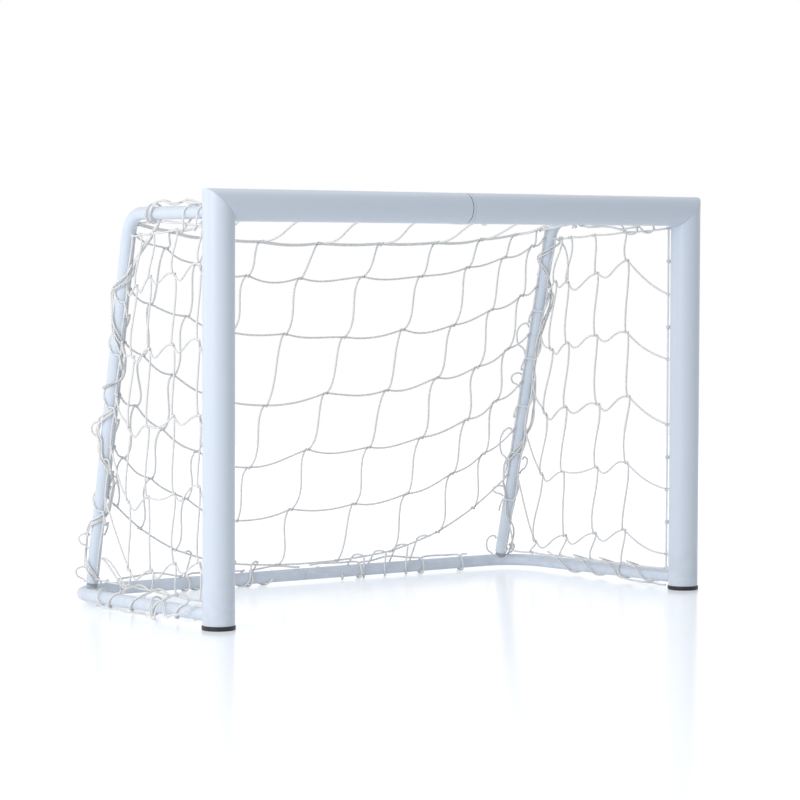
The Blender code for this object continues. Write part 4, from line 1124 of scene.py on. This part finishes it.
class Lines:
    """Lines and marked knots, kept as one mesh of edges and loose points."""

    def __init__(self):
        self.points, self.edges, self.tones, self.knots, self.turns = [], [], [], [], []

    def add(self, points, tone):
        first = len(self.points)
        self.points += [tuple(point) for point in points]
        self.edges += [(first + k, first + k + 1) for k in range(len(points) - 1)]
        self.tones += [tone] * len(points)
        self.knots += [False] * len(points)
        self.turns += [(0, 0, 0)] * len(points)

    def add_knot(self, point, turn, tone):
        self.points.append(tuple(point))
        self.tones.append(tone)
        self.knots.append(True)
        self.turns.append(tuple(turn))

    def make(self, name):
        mesh = bpy.data.meshes.new(name)
        mesh.from_pydata(self.points, self.edges, [])
        mesh.attributes.new("tone", "FLOAT", "POINT").data.foreach_set("value", self.tones)
        mesh.attributes.new("knot", "BOOLEAN", "POINT").data.foreach_set("value", self.knots)
        mesh.attributes.new("turn", "FLOAT_VECTOR", "POINT").data.foreach_set(
            "vector", [c for turn in self.turns for c in turn])
        made = bpy.data.objects.new(name, mesh)
        bpy.context.scene.collection.objects.link(made)
        return made


def roped(lines, name):
    """Lays cord on all the lines, as one piece, and says how much."""
    made = run_tree(lines.make(name), rope_tree, Cord_radius=CORD_R, Lay=LAY, Knot=knot_pattern,
                    Finish=cord_white)
    metres = sum(math.dist(lines.points[a], lines.points[b]) for a, b in lines.edges)
    print(f"{name}: {metres:.2f} m of cord, {sum(lines.knots)} knots, {len(made.data.polygons)} faces")
    return made


print("a leg of the net has a point every", LEG_STEP * 1000, "mm")

# %% One leg of a row or column
KNOT_REACH, ROW_REACH, COLUMN_REACH = 0.0045, 0.8, 0.3
EDGE_SAG, ROW_SAG = 0.0015, (0.002, 0.007)
ROW_TIP, ROW_TAIL, ROW_PULL = (0.0, 0.28), (-0.05, 0.22), 0.33
ARCH_TIP, ARCH_TAIL, ARCH_PULL = (-0.9, -0.1), (0.9, 2.2), 0.45
SEAM_WAY, SEAM_SAG = (0, 0.06), (0.001, 0.004)
SLACK_SHOWN, SHALLOW_ARC = 0.30, 3 / 8
COLUMN_OUT, COLUMN_IN = (0.25, 0.75), (0.3, 1.1)
PULL_OUT, PULL_IN = (0.25, 0.38), (0.22, 0.40)
COLUMN_BULGE = (-0.004, 0.006)


def row_leg(spot, far, way, chance, on_edge, seam, spare):
    """From one knot of a row to the next. Where they have crowded, it arches up and then dips."""
    span = far - spot
    level = span.normalized()
    crowded = spare > span.length
    tip = chance.uniform(*ROW_TIP) * (not on_edge)
    tail = chance.uniform(*ROW_TAIL) * (not on_edge)
    sag = EDGE_SAG if on_edge else chance.uniform(*ROW_SAG)
    if crowded and not on_edge:
        tip, tail = chance.uniform(*ARCH_TIP), chance.uniform(*ARCH_TAIL)
        sag = SLACK_SHOWN * math.sqrt(SHALLOW_ARC * span.length * (spare - span.length))
    if seam:
        tip, tail, sag = seam.uniform(*SEAM_WAY), seam.uniform(*SEAM_WAY), seam.uniform(*SEAM_SAG)
        way = DOWN
    pull = span.length * (ARCH_PULL if crowded else ROW_PULL)
    start, end = spot + level * KNOT_REACH * ROW_REACH, far - level * KNOT_REACH * ROW_REACH
    return leg(start, (level + way * tip).normalized() * pull,
               end, (level - way * tail).normalized() * pull, sag)


def column_leg(spot, far, across, down, face, chance, swing, lean):
    """From a knot to the one below: out to the left, and in again from the right."""
    length = (far - spot).length
    start_way = down - across * (chance.uniform(*COLUMN_OUT) * swing * lean)
    end_way = down - across * (chance.uniform(*COLUMN_IN) * swing * lean)
    start_way = start_way.normalized() * length * chance.uniform(*PULL_OUT)
    end_way = end_way.normalized() * length * chance.uniform(*PULL_IN)
    bulge = face * chance.uniform(*COLUMN_BULGE) * lean
    start = spot + (down * COLUMN_REACH - across * lean) * KNOT_REACH
    end = far + (across * lean - down * COLUMN_REACH) * KNOT_REACH
    return leg(start, start_way + bulge, end, end_way - bulge, 0)


example = row_leg(Vector((0, 0, 0)), EAST * ROW_GAP, DOWN, random.Random(0), True, None, 0)
print("a leg on an edge has", len(example), "points")

# %% Panels
SIDE_MESH = 0.102
BACK_SWING, TOP_SWING, SIDE_SWING = 1.0, 0.6, 0.3
WOBBLE = (0.5, 0.35, 0.3)


def panel_lines(name, columns, rows, place, across, down, loose_edges, swing, spare=0.0):
    """All legs and knots of one panel.

    Swing says how far the columns curve to the side. Spare is the length of cord between two
    knots of a row. Loose edges are those of the seam between back and top, which both panels
    draw alike.
    """
    drift = random.Random(name)
    chance = random.Random(name + " legs")
    face = across.cross(down).normalized()
    spots = {}
    for i in range(columns + 1):
        for j in range(rows + 1):
            point = place(i, j)
            if 0 < i < columns and 0 < j < rows:
                point += across * drift.uniform(-KNOT_DRIFT, KNOT_DRIFT)
                point += down * drift.uniform(-KNOT_DRIFT, KNOT_DRIFT)
            spots[i, j] = point
    lines = Lines()
    basis = Matrix((across, face, -down)).transposed()
    for (i, j), spot in spots.items():
        on_edge = j in (0, rows) and j not in loose_edges
        seam = random.Random(f"seam {i}") if j in loose_edges else None
        tone = chance.random()
        if i < columns:
            lines.add(row_leg(spot, spots[i + 1, j], down, chance, on_edge, seam, spare), tone)
        if j < rows:
            lean = 0.0 if i in (0, columns) else 1.0
            points = column_leg(spot, spots[i, j + 1], across, down, face, chance, swing, lean)
            lines.add(points, chance.random())
        wobble = Euler([chance.uniform(-most, most) for most in WOBBLE])
        lines.add_knot(spot, (basis @ wobble.to_matrix()).to_euler(), tone)
    return lines


back_down = (back_edge(1, NET_BOTTOM) - back_edge(1, CROSSBAR_Z)).normalized()
lines = panel_lines("net_back", NET_COLUMNS, NET_ROWS, back_knot, EAST, back_down, (0,), BACK_SWING)
dress(roped(lines, "net_back_cords"), "cord_white", "net_back")
lines = panel_lines("net_top", NET_COLUMNS, TOP_ROWS, top_knot, EAST, NORTH, (TOP_ROWS,), TOP_SWING)
dress(roped(lines, "net_top_cords"), "cord_white", "net_top")
for side_name, side in SIDES.items():
    across = (side_rear_edge(side, CROSSBAR_Z) - side_front_edge(side, CROSSBAR_Z)).normalized()
    lines = panel_lines("net_" + side_name, SIDE_COLUMNS, NET_ROWS, lambda i, j: side_knot(side, i, j),
                        across, DOWN, (), SIDE_SWING, SIDE_MESH)
    dress(roped(lines, f"net_{side_name}_cords"), "cord_white", "net_" + side_name)

# %% [markdown]
# ## Lacing
#
# Loose cords wind round the stanchions, the ground frame and the top bars, and take the net's
# edge cords with them. A turn is a tight belt round circles: one for the tube and one for each
# edge cord. The belt's outline is the one that reaches farthest in each direction.

# %% Belt round a tube and its edge cords
BELT_SAMPLES = 360
LACE_GAP = 0.0006
LACE_R = REAR_R + LACE_GAP + CORD_R
EDGE_PATH_R = 0.0056
EDGE_STEPS = 6
TUBE_STEP = math.radians(10)
LACE_TRIES = 20


def belt(circles, reference):
    """Arcs of (circle, first angle, last angle), from the tube's arc onwards."""
    winners = []
    for k in range(BELT_SAMPLES):
        angle = 2 * math.pi * k / BELT_SAMPLES
        reach = [x * math.cos(angle) + y * math.sin(angle) + r for x, y, r in circles]
        winners.append(reach.index(max(reach)))
    starts = [k for k in range(BELT_SAMPLES) if winners[k] != winners[k - 1]]
    arcs = []
    for n, first in enumerate(starts):
        last = starts[(n + 1) % len(starts)]
        if last <= first:
            last += BELT_SAMPLES
        arcs.append((winners[first], 2 * math.pi * first / BELT_SAMPLES, 2 * math.pi * last / BELT_SAMPLES))
    while arcs[0][0] != 0:
        which, first, last = arcs.pop(0)
        arcs.append((which, first + 2 * math.pi, last + 2 * math.pi))
    whole_turns = round((reference - arcs[0][1]) / (2 * math.pi)) * 2 * math.pi
    return [(which, first + whole_turns, last + whole_turns) for which, first, last in arcs]


example = belt([(0, 0, LACE_R), (EDGE_STANDOFF, 0, EDGE_PATH_R)], 0)
print("a belt round the tube and one edge cord has", len(example), "arcs")

# %% Path of a lacing cord
def edge_at(edge, origin, normal):
    for k in range(len(edge) - 1):
        run = edge[k + 1] - edge[k]
        share = (origin - edge[k]).dot(normal) / run.dot(normal)
        if share <= 1 or k == len(edge) - 2:
            return edge[k] + run * share


def lacing_path(start, end, edges, turns, side):
    """Points of one cord that winds from start to end round a tube and its edge cords."""
    along = (end - start).normalized()
    u = Vector((side, 0, 0))
    if abs(along.x) > abs(along.y) + abs(along.z):
        u = NORTH
    u = (u - along * u.dot(along)).normalized()
    v = along.cross(u) * side
    pitch = (end - start).length / turns

    def circles_at(run):
        here = start + along * run
        circles = [(0, 0, LACE_R)]
        for edge in edges:
            offset = edge_at(edge, here, along) - here
            circles.append((offset.dot(u), offset.dot(v), EDGE_PATH_R))
        return circles

    points = []
    reference = None
    for n in range(turns):
        arcs = belt(circles_at(pitch * (n + 0.5)), 0 if reference is None else reference)
        if reference is None:
            reference = arcs[0][1]
        for which, first, last in arcs:
            steps = EDGE_STEPS if which else math.ceil((last - first) / TUBE_STEP)
            for k in range(steps + 1):
                angle = first + (last - first) * k / steps
                run = (n + (angle - reference) / (2 * math.pi)) * pitch
                x, y, radius = circles_at(run)[which]
                offset = u * (x + radius * math.cos(angle)) + v * (y + radius * math.sin(angle))
                points.append(start + along * run + offset)
    return points


def best_lacing(side, first, last, turns, edges, knots):
    """Of the places that one turn's room allows, the path that keeps farthest from the knots."""
    step = (last - first) / (turns + 1)
    widest = 0
    for k in range(LACE_TRIES + 1):
        start = first + step * k / LACE_TRIES
        path = lacing_path(start, start + step * turns, edges, turns, side)
        room = min((point - knot).length for point in path for knot in knots)
        if room > widest:
            widest = room
            points = path
    return points


print("a lacing cord is tried at", LACE_TRIES + 1, "starts")

# %% Lacing cords
GROUND_TURNS, TOP_TURNS, REAR_TURNS = 4, 2, 4
LACE_FROM_POST = 0.030
REAR_LACE = (0.050, 0.330)


def lacing(name, path):
    lines = Lines()
    lines.add(on_floor(path), random.Random(name).random())
    dress(roped(lines, name + "_cords"), "cord_white", name)


for side_name, side in SIDES.items():
    selvedge = NET_COLUMNS if side > 0 else 0
    back = [back_knot(selvedge, j) for j in range(NET_ROWS + 1)]
    rear = [side_knot(side, SIDE_COLUMNS, j) for j in range(NET_ROWS + 1)]
    foot = stanchion_line(side, Vector((0, 0, 0)), edge_height(NET_ROWS))
    path = best_lacing(side, stanchion_top(side), foot, NET_ROWS - 1, [back, rear], back + rear)
    lacing(f"lacing_{side_name}_stanchion", path)

    lower = [side_knot(side, i, NET_ROWS) for i in range(SIDE_COLUMNS + 1)]
    first = side_bar_start(side)
    along = (ground_corner(side) - first).normalized()
    last = ground_corner(side) - along * GROUND_BEND
    path = best_lacing(side, first + along * LACE_FROM_POST, last, GROUND_TURNS, [lower], lower)
    lacing(f"lacing_{side_name}_ground", path)

    upper = [top_side_edge(side, j / TOP_ROWS) for j in range(TOP_ROWS)]
    hanging = [side_knot(side, i, 0) for i in range(SIDE_COLUMNS + 1)]
    first = top_bar_start(side)
    last = Vector((first.x, upper[-1].y, first.z))
    first.y += LACE_FROM_POST
    path = best_lacing(side, first, last, TOP_TURNS, [upper, hanging], upper + hanging)
    lacing(f"lacing_{side_name}_top", path)

    edge = [back_knot(i, NET_ROWS) for i in range(NET_COLUMNS + 1)]
    if side < 0:
        edge.reverse()
    first, last = (Vector((side * x, REAR_Y, REAR_BAR_Z)) for x in REAR_LACE)
    path = best_lacing(side, first, last, REAR_TURNS, [edge], edge)
    lacing(f"lacing_rear_{side_name}", path)

# %% [markdown]
# ## Loose cord on the tubes
#
# On the real goal the lacing isn't neat. Spare cord runs down the stanchions in bundles of
# two or three strands that wander round the tube, hangs under the side bars and stands off in
# small loops. Each bundle follows a short list of keys: how many millimetres along the tube,
# how many degrees round it, and how many millimetres off its paint.

# %% Helpers for loose cord
STRAND_ANGLE = math.radians(17)
STRAND_GAP, STRAND_FLOAT = 0.0004, 0.0012
WAVE_RATES, WANDER, WANDER_FINE = (0.040, 0.095, 0.065), 12, 6
KEY_STEPS, LOOP_STEPS = 12, 6
LOOP_SPLAY = 2.2
LOOP_SHAPE = [(0.0, -1.7), (0.2, -1.2), (0.75, -0.8), (1.0, 0.0), (0.8, 0.6), (0.3, 0.8), (0.0, 0.45)]
FIRST_TURN, QUARTER_RUN, QUARTER, TURN_OFF = (5, 20), (3, 8), 90, 0.6
ARC_DRIFT, ARC_LIFT = (-15, 10), (0.2, 1.0)


def smooth(keys, steps=KEY_STEPS):
    """A curve through all keys, which may be points or other triples."""
    keys = [Vector(key) for key in keys]
    points = []
    for k in range(len(keys) - 1):
        a, b, c, d = keys[max(k - 1, 0)], keys[k], keys[k + 1], keys[min(k + 2, len(keys) - 1)]
        for n in range(steps):
            t = n / steps
            bend = (a * 2 - b * 5 + c * 4 - d) * t ** 2 + (b * 3 - a - c * 3 + d) * t ** 3
            points.append(b + ((c - a) * t + bend) / 2)
    return points + [keys[-1]]


def winding(lines, start, end, u, v, keys, strands, name):
    """Strands of loose cord along a tube. Angles count from u towards v."""
    along = (end - start).normalized()
    u = (u - along * u.dot(along)).normalized()
    v = (v - along * v.dot(along) - u * v.dot(u)).normalized()
    chance = random.Random(name)
    for strand in range(strands):
        phases = [chance.uniform(0, 2 * math.pi) for _ in WAVE_RATES]
        fan = (strand - (strands - 1) / 2) * STRAND_ANGLE
        points = []
        for place, angle, off in smooth(keys):
            waves = [math.sin(place * rate + phase) for rate, phase in zip(WAVE_RATES, phases)]
            turn = math.radians(angle + WANDER * waves[0] + WANDER_FINE * waves[1]) + fan
            reach = REAR_R + CORD_R + STRAND_GAP + max(off, 0) / 1000 + STRAND_FLOAT * (1 + waves[2])
            out = u * math.cos(turn) + v * math.sin(turn)
            points.append(start + along * (place / 1000) + out * reach)
        lines.add(on_floor(points), chance.random())


def stray_loop(lines, base, out, up, reach, width, chance):
    """A slack loop that stands off a tube like a handle, with both its tails on the tube."""
    aside = out.cross(up) * CORD_R * LOOP_SPLAY
    keys = []
    for n, (a, b) in enumerate(LOOP_SHAPE):
        share = n / (len(LOOP_SHAPE) - 1) - 0.5
        keys.append(base + out * (reach * a) + up * (width * b) + aside * (2 * share))
    lines.add(on_floor(smooth(keys, LOOP_STEPS)), chance.random())


def loose_keys(length, seed, lift, span):
    """Turns round a bar with slack arcs over it in between."""
    chance = random.Random(seed)
    place, angle = chance.uniform(*FIRST_TURN), QUARTER
    keys = [(place, angle, 1)]
    while place < length - span[1]:
        run = chance.uniform(*span)
        drift = chance.uniform(*ARC_DRIFT)
        keys.append((place + run / 2, angle + drift, chance.uniform(*ARC_LIFT) * lift))
        place += run
        keys.append((place, angle, 1))
        for _ in range(4):
            place += chance.uniform(*QUARTER_RUN)
            angle -= QUARTER
            keys.append((place, angle, TURN_OFF))
    return keys


print("a key becomes", KEY_STEPS, "points of cord")

# %% Bundles on the stanchions
BUNDLES = {
    "left": [
        (53, 310, 4), (69, 285, 3), (85, 240, 1), (101, 190, 1), (111, 155, 3), (129, 150, 2),
        (146, 165, 1), (170, 195, 0), (200, 235, 0), (226, 285, 1), (243, 315, 4), (267, 320, 5),
        (283, 290, 2), (293, 240, 0), (301, 190, 0), (307, 150, 1), (313, 60, 0), (322, -30, 1),
        (338, -75, 0), (350, -120, 0), (366, -175, 1), (380, -212, 4), (395, -215, 5),
        (411, -190, 1), (440, -150, 0), (455, -120, 0), (470, -80, 1), (482, -50, 3),
        (500, -38, 6), (530, -40, 6), (550, -60, 3), (565, -100, 0), (578, -160, 0),
        (590, -205, 2), (612, -220, 4), (640, -210, 3), (660, -190, 2), (675, -160, 1),
        (688, -115, 2), (702, -75, 3)],
    "right": [
        (-8, 322, 5), (6, 315, 6), (14, 280, 1), (24, 235, 0), (34, 185, 1), (44, 150, 4),
        (52, 160, 2), (62, 200, 1), (78, 250, 0), (95, 290, 0), (112, 318, 3), (140, 325, 6),
        (165, 318, 4), (185, 300, 1), (210, 270, 0), (240, 242, 0), (270, 260, 0), (300, 290, 1),
        (330, 315, 3), (355, 322, 5), (385, 325, 8), (410, 318, 6), (430, 300, 1), (450, 270, 0),
        (470, 235, 0), (485, 200, 1), (498, 160, 3), (515, 146, 5), (540, 150, 4), (560, 175, 1),
        (590, 215, 0), (620, 250, 0), (645, 290, 2), (668, 315, 6), (690, 322, 5), (702, 300, 3)]}
LOOPS = {
    "left": [
        (386, 148, 18, 14), (494, 325, 13, 12), (614, 146, 21, 12), (683, 150, 20, 12)],
    "right": [
        (138, 323, 13, 26), (210, 143, 25, 28), (309, 143, 22, 13), (450, 143, 25, 34),
        (500, 323, 12, 16), (561, 143, 24, 9), (684, 143, 20, 20), (694, 325, 13, 12)]}
STRANDS = {"left": 3, "right": 2}
for side_name, side in SIDES.items():
    loose = Lines()
    chance = random.Random("stray " + side_name)
    top, foot = stanchion_top(side), stanchion_end(side)
    down = (foot - top).normalized()
    winding(loose, top, foot, EAST, NORTH, BUNDLES[side_name], STRANDS[side_name], "bundle " + side_name)
    for place, angle, reach, width in LOOPS[side_name]:
        out = EAST * math.cos(math.radians(angle)) + NORTH * math.sin(math.radians(angle))
        base = top + down * (place / 1000) + out * (REAR_R + CORD_R)
        stray_loop(loose, base, out, -down, reach / 1000, width / 1000, chance)
    dress(roped(loose, side_name + "_stanchion_slack"), "cord_white")

# %% Slack on the bars
SIDE_SLACK = {
    "left": [
        (12, 80, 1), (45, 30, 9), (85, -10, 13), (118, -25, 10), (140, 30, 2), (150, -40, 12),
        (163, -55, 15), (176, 10, 3), (186, 90, 1), (192, 180, 1), (197, 270, 1), (204, 300, 3),
        (240, 268, 5), (300, 272, 4), (345, 280, 1), (368, 330, 1), (378, 420, 1), (386, 510, 1),
        (394, 600, 1), (405, 640, 1)],
    "right": [
        (20, 265, 2), (60, 270, 5), (110, 268, 2), (150, 300, 1), (158, 400, 1), (166, 500, 1),
        (180, 540, 1)]}
TOP_SLACK = [
    (60, 88, 1), (100, 88, 1), (140, 92, 7), (180, 90, 1), (205, 88, 2), (230, 92, 8),
    (246, 20, 1), (250, -70, 1), (254, -160, 1), (257, -250, 2), (262, -340, 1), (266, -430, 2),
    (274, -450, 4)]
TOP_UNDER = [(70, 262, 2), (120, 268, 8), (175, 272, 2), (235, 268, 2)]
REAR_SLACK_FROM = 0.006
REAR_SLACK_LENGTH, REAR_SLACK_LIFT, REAR_SLACK_SPAN = 480, 9, (80, 150)
for side_name, side in SIDES.items():
    loose = Lines()
    first, corner = side_bar_start(side), ground_corner(side)
    winding(loose, first, corner, WEST, SKY, SIDE_SLACK[side_name], 1, "side " + side_name)
    first, corner = top_bar_start(side), top_corner(side)
    winding(loose, first, corner, WEST, SKY, TOP_SLACK, 2, "top " + side_name)
    winding(loose, first, corner, WEST, SKY, TOP_UNDER, 2, "under " + side_name)
    middle = Vector((side * REAR_SLACK_FROM, REAR_Y, REAR_BAR_Z))
    corner = Vector((side * (HALF_SPACING - GROUND_BEND), REAR_Y, REAR_BAR_Z))
    keys = loose_keys(REAR_SLACK_LENGTH, "rear bar " + side_name, REAR_SLACK_LIFT, REAR_SLACK_SPAN)
    winding(loose, middle, corner, -NORTH, SKY, keys, 1, "rear " + side_name)
    dress(roped(loose, side_name + "_bar_slack"), "cord_white")

# %% Cords that hang from the top bars
HANG_FROM, HANG_TO, HANG_STEP = 0.243, 0.058, 0.006
HANGING, KNOT_ROLL = 3, 1.3
HANG_SHIFT = ((-0.005, 0.005), (-0.009, 0.009))
HANG_FALL, FALL_SHIFT = 0.33, ((-0.01, 0.01), (-0.015, 0.002))
FALL_DROP = -0.004
FACING = Vector((0.55, -0.83, 0))
FIRST_KNOT, NEXT_KNOT, KNOT_TONE = 0.45, 0.07, 0.6
RIGHT_OUT, RIGHT_IN = Vector((0, -0.035, -0.012)), Vector((0, 0.004, -0.05))
TAIL_FROM, TAIL_TO = 0.050, Vector((0, 0, -0.040))
TAIL_OUT, TAIL_IN, TAIL_LIFTS = -0.03, -0.02, (0.010, -0.008)
TAIL_TURN, TAIL_TONE = (0.3, 0.8, 1.2), 0.4
for side_name, side in SIDES.items():
    loose = Lines()
    chance = random.Random("hang " + side_name)
    top, foot = stanchion_top(side), stanchion_end(side)
    down = (foot - top).normalized()
    if side > 0:
        start, end = top + FACING * (REAR_R + CORD_R), side_knot(side, 3, 1)
        loose.add(leg(start, RIGHT_OUT, end, RIGHT_IN, 0), chance.random())
    else:
        high = top_bar_start(side) + Vector((0, HANG_FROM, -REAR_R - CORD_R))
        low = top + down * HANG_TO + FACING * (REAR_R + CORD_R * 2)
        for n in range(HANGING):
            shift = Vector([chance.uniform(*bounds) for bounds in HANG_SHIFT] + [0])
            fall = (low - high) * HANG_FALL
            fall += Vector([chance.uniform(*bounds) for bounds in FALL_SHIFT] + [FALL_DROP])
            loose.add(leg(high + shift, fall, low + down * (HANG_STEP * n), fall, 0), chance.random())
            turn = (chance.uniform(-1, 1), chance.uniform(-1, 1), KNOT_ROLL)
            loose.add_knot(high.lerp(low, FIRST_KNOT + NEXT_KNOT * n), turn, KNOT_TONE)
        bed = foot - down * TAIL_FROM + FACING * (REAR_R + CORD_R * 2)
        knot = side_knot(side, SIDE_COLUMNS - 1, NET_ROWS - 1) + TAIL_TO
        for lift in TAIL_LIFTS:
            points = leg(bed, Vector((0, TAIL_OUT, lift)), knot, Vector((0, TAIL_IN, -lift)), 0)
            loose.add(points, chance.random())
        loose.add_knot(knot, TAIL_TURN, TAIL_TONE)
    dress(roped(loose, side_name + "_hanging_cords"), "cord_white")
bpy.data.objects.remove(knot_pattern, do_unlink=True)

# %% [markdown]
# ## Net hooks
#
# Fourteen small plastic hooks hold the net's front edge behind the posts and the crossbar. One
# hook is drawn as an outline with rounded lips, and Geometry Nodes set it on every place with
# the turn that the place asks for.

# %% Hooks
POST_HOOKS, CROSSBAR_HOOKS = 4, 3
HOOK_STEPS = 20
HOOK_MOUTH = math.radians(80)
HOOK_EDGE = 0.0004


def hook_shape():
    """An open ring on a pad. Its Y axis points out of the tube and its Z axis along the cord."""
    first = math.pi / 2 + HOOK_MOUTH / 2
    sweep = 2 * math.pi - HOOK_MOUTH
    foot = -(HOOK_BASE + HOOK_BORE)
    half = HOOK_BORE + HOOK_WALL
    inner, outer = [], []
    for k in range(HOOK_STEPS + 1):
        angle = first + sweep * k / HOOK_STEPS
        inner.append((HOOK_BORE * math.cos(angle), HOOK_BORE * math.sin(angle)))
        outer.append((half * math.cos(angle), max(half * math.sin(angle), foot)))
    outline = inner + outer[::-1]
    bm = bmesh.new()
    ends = [[bm.verts.new((x, y, HOOK_LENGTH * end)) for x, y in outline] for end in (-0.5, 0.5)]
    edges = [edge for face in skin(bm, ends) for edge in face.edges]
    bmesh.ops.bevel(bm, geom=edges, offset=HOOK_EDGE, segments=2, affect="EDGES", clamp_overlap=True)
    return piece(bm, "hook_shape", hook_white)


def hook_tree():
    graph, given = new_tree("hooks on their places", [("Hook", "Object"), ("Finish", "Material")])
    return end_tree(graph, instances(graph, given, "Hook"), given["Finish"])


def hook_turn(out, along):
    return Matrix((out.cross(along), out, along)).transposed().to_euler()


hooks = Lines()
for side_name, side in SIDES.items():
    for n in range(POST_HOOKS):
        row = round((NET_ROWS - 2) * n / (POST_HOOKS - 1))
        centre = side_front_edge(side, (side_knot(side, 0, row).z + side_knot(side, 0, row + 1).z) / 2)
        hooks.add_knot(centre, hook_turn(post_hook_direction(side), SKY), 0)
    for n in range(CROSSBAR_HOOKS):
        column = NET_COLUMNS // 2 + side * (n + 1)
        centre = top_front_edge(side)
        centre.x = (top_knot(column, 0).x + top_knot(column + 1, 0).x) / 2
        hooks.add_knot(centre, hook_turn(CROSSBAR_HOOK_WAY, EAST), 0)
pattern = hook_shape()
net_hooks = run_tree(hooks.make("net_hooks"), hook_tree(), Hook=pattern, Finish=hook_white)
bpy.data.objects.remove(pattern, do_unlink=True)
hook_nodes = [f"{side_name}_post_hook_{n + 1}" for side_name in SIDES for n in range(POST_HOOKS)]
hook_nodes += [f"{side_name}_crossbar_hook_{n + 1}" for side_name in SIDES for n in range(CROSSBAR_HOOKS)]
dress(net_hooks, "hook_plastic", *hook_nodes)
print("hooks:", len(hook_nodes))

# %% [markdown]
# ## Floor and light
#
# The photograph is a studio picture on white. A broad soft lamp stands to the left, two weak
# ones stand above and behind, and the white walls fill in from everywhere else, a little bluer.
# What the camera sees directly, and what gloss mirrors, is plain white. The floor keeps the
# shadows.

# %% Floor
FLOOR_HALF, FLOOR_GLOW = 4, 0.385
NEAR, FAR = 0.5, 2.5
MOTTLE = ((0.90, 0.905, 0.92, 1), (0.88, 0.885, 0.90, 1))
SEEN_NEAR, SEEN_FAR, UNSEEN = (0.76, 0.785, 0.825, 1), (1, 1, 1, 1), (0.25, 0.25, 0.25, 1)
bm = bmesh.new()
bmesh.ops.create_grid(bm, x_segments=1, y_segments=1, size=FLOOR_HALF)
ground = Finish("studio floor")
mottle = ground.noise(1.5, 2.0)
ground.set(Base_Color=ground.blend(mottle, *MOTTLE), Roughness=0.15 + mottle * 0.05)
away = ground.node("ShaderNodeVectorMath", {"operation": "LENGTH"}, {0: ground.place}, output="Value")
white = ground.blend(ground.mask(away, NEAR, FAR), SEEN_NEAR, SEEN_FAR)
glow = ground.blend(ground.unscattered(), UNSEEN, white)
ground.set(Emission_Color=glow, Emission_Strength=FLOOR_GLOW)
floor = piece(bm, "floor", ground.material)
print("floor", round(floor.dimensions.x, 1), "m square")

# %% Lamps and world
AIM = Vector((0, 0, 0.4))
LAMPS = {
    "key": ((-4.73, -1.28, 2.16), 2.97, 109, (1.0, 0.99, 0.98)),
    "top": ((0.4, 0.6, 3.2), 2.6, 13, (0.98, 0.99, 1.0)),
    "rear fill": ((-3.2, 2.6, 1.4), 2.0, 14, (1.0, 1.0, 1.0))}
ROOM_SHADE = (0.38, 0.403, 0.427, 1)
for name, (place, size, power, colour) in LAMPS.items():
    data = bpy.data.lights.new(name, "AREA")
    data.size = size
    data.energy = power
    data.color = colour
    lamp = bpy.data.objects.new(name, data)
    lamp.location = place
    lamp.rotation_euler = (AIM - Vector(place)).to_track_quat("-Z", "Y").to_euler()
    bpy.context.scene.collection.objects.link(lamp)
world = bpy.data.worlds.new("white room")
world.use_nodes = True
room = Graph(world.node_tree)
background = world.node_tree.nodes["Background"]
room.feed(background.inputs["Color"], room.blend(room.unscattered(), ROOM_SHADE, (1, 1, 1, 1)))
bpy.context.scene.world = world
bpy.context.scene.view_settings.view_transform = "Standard"
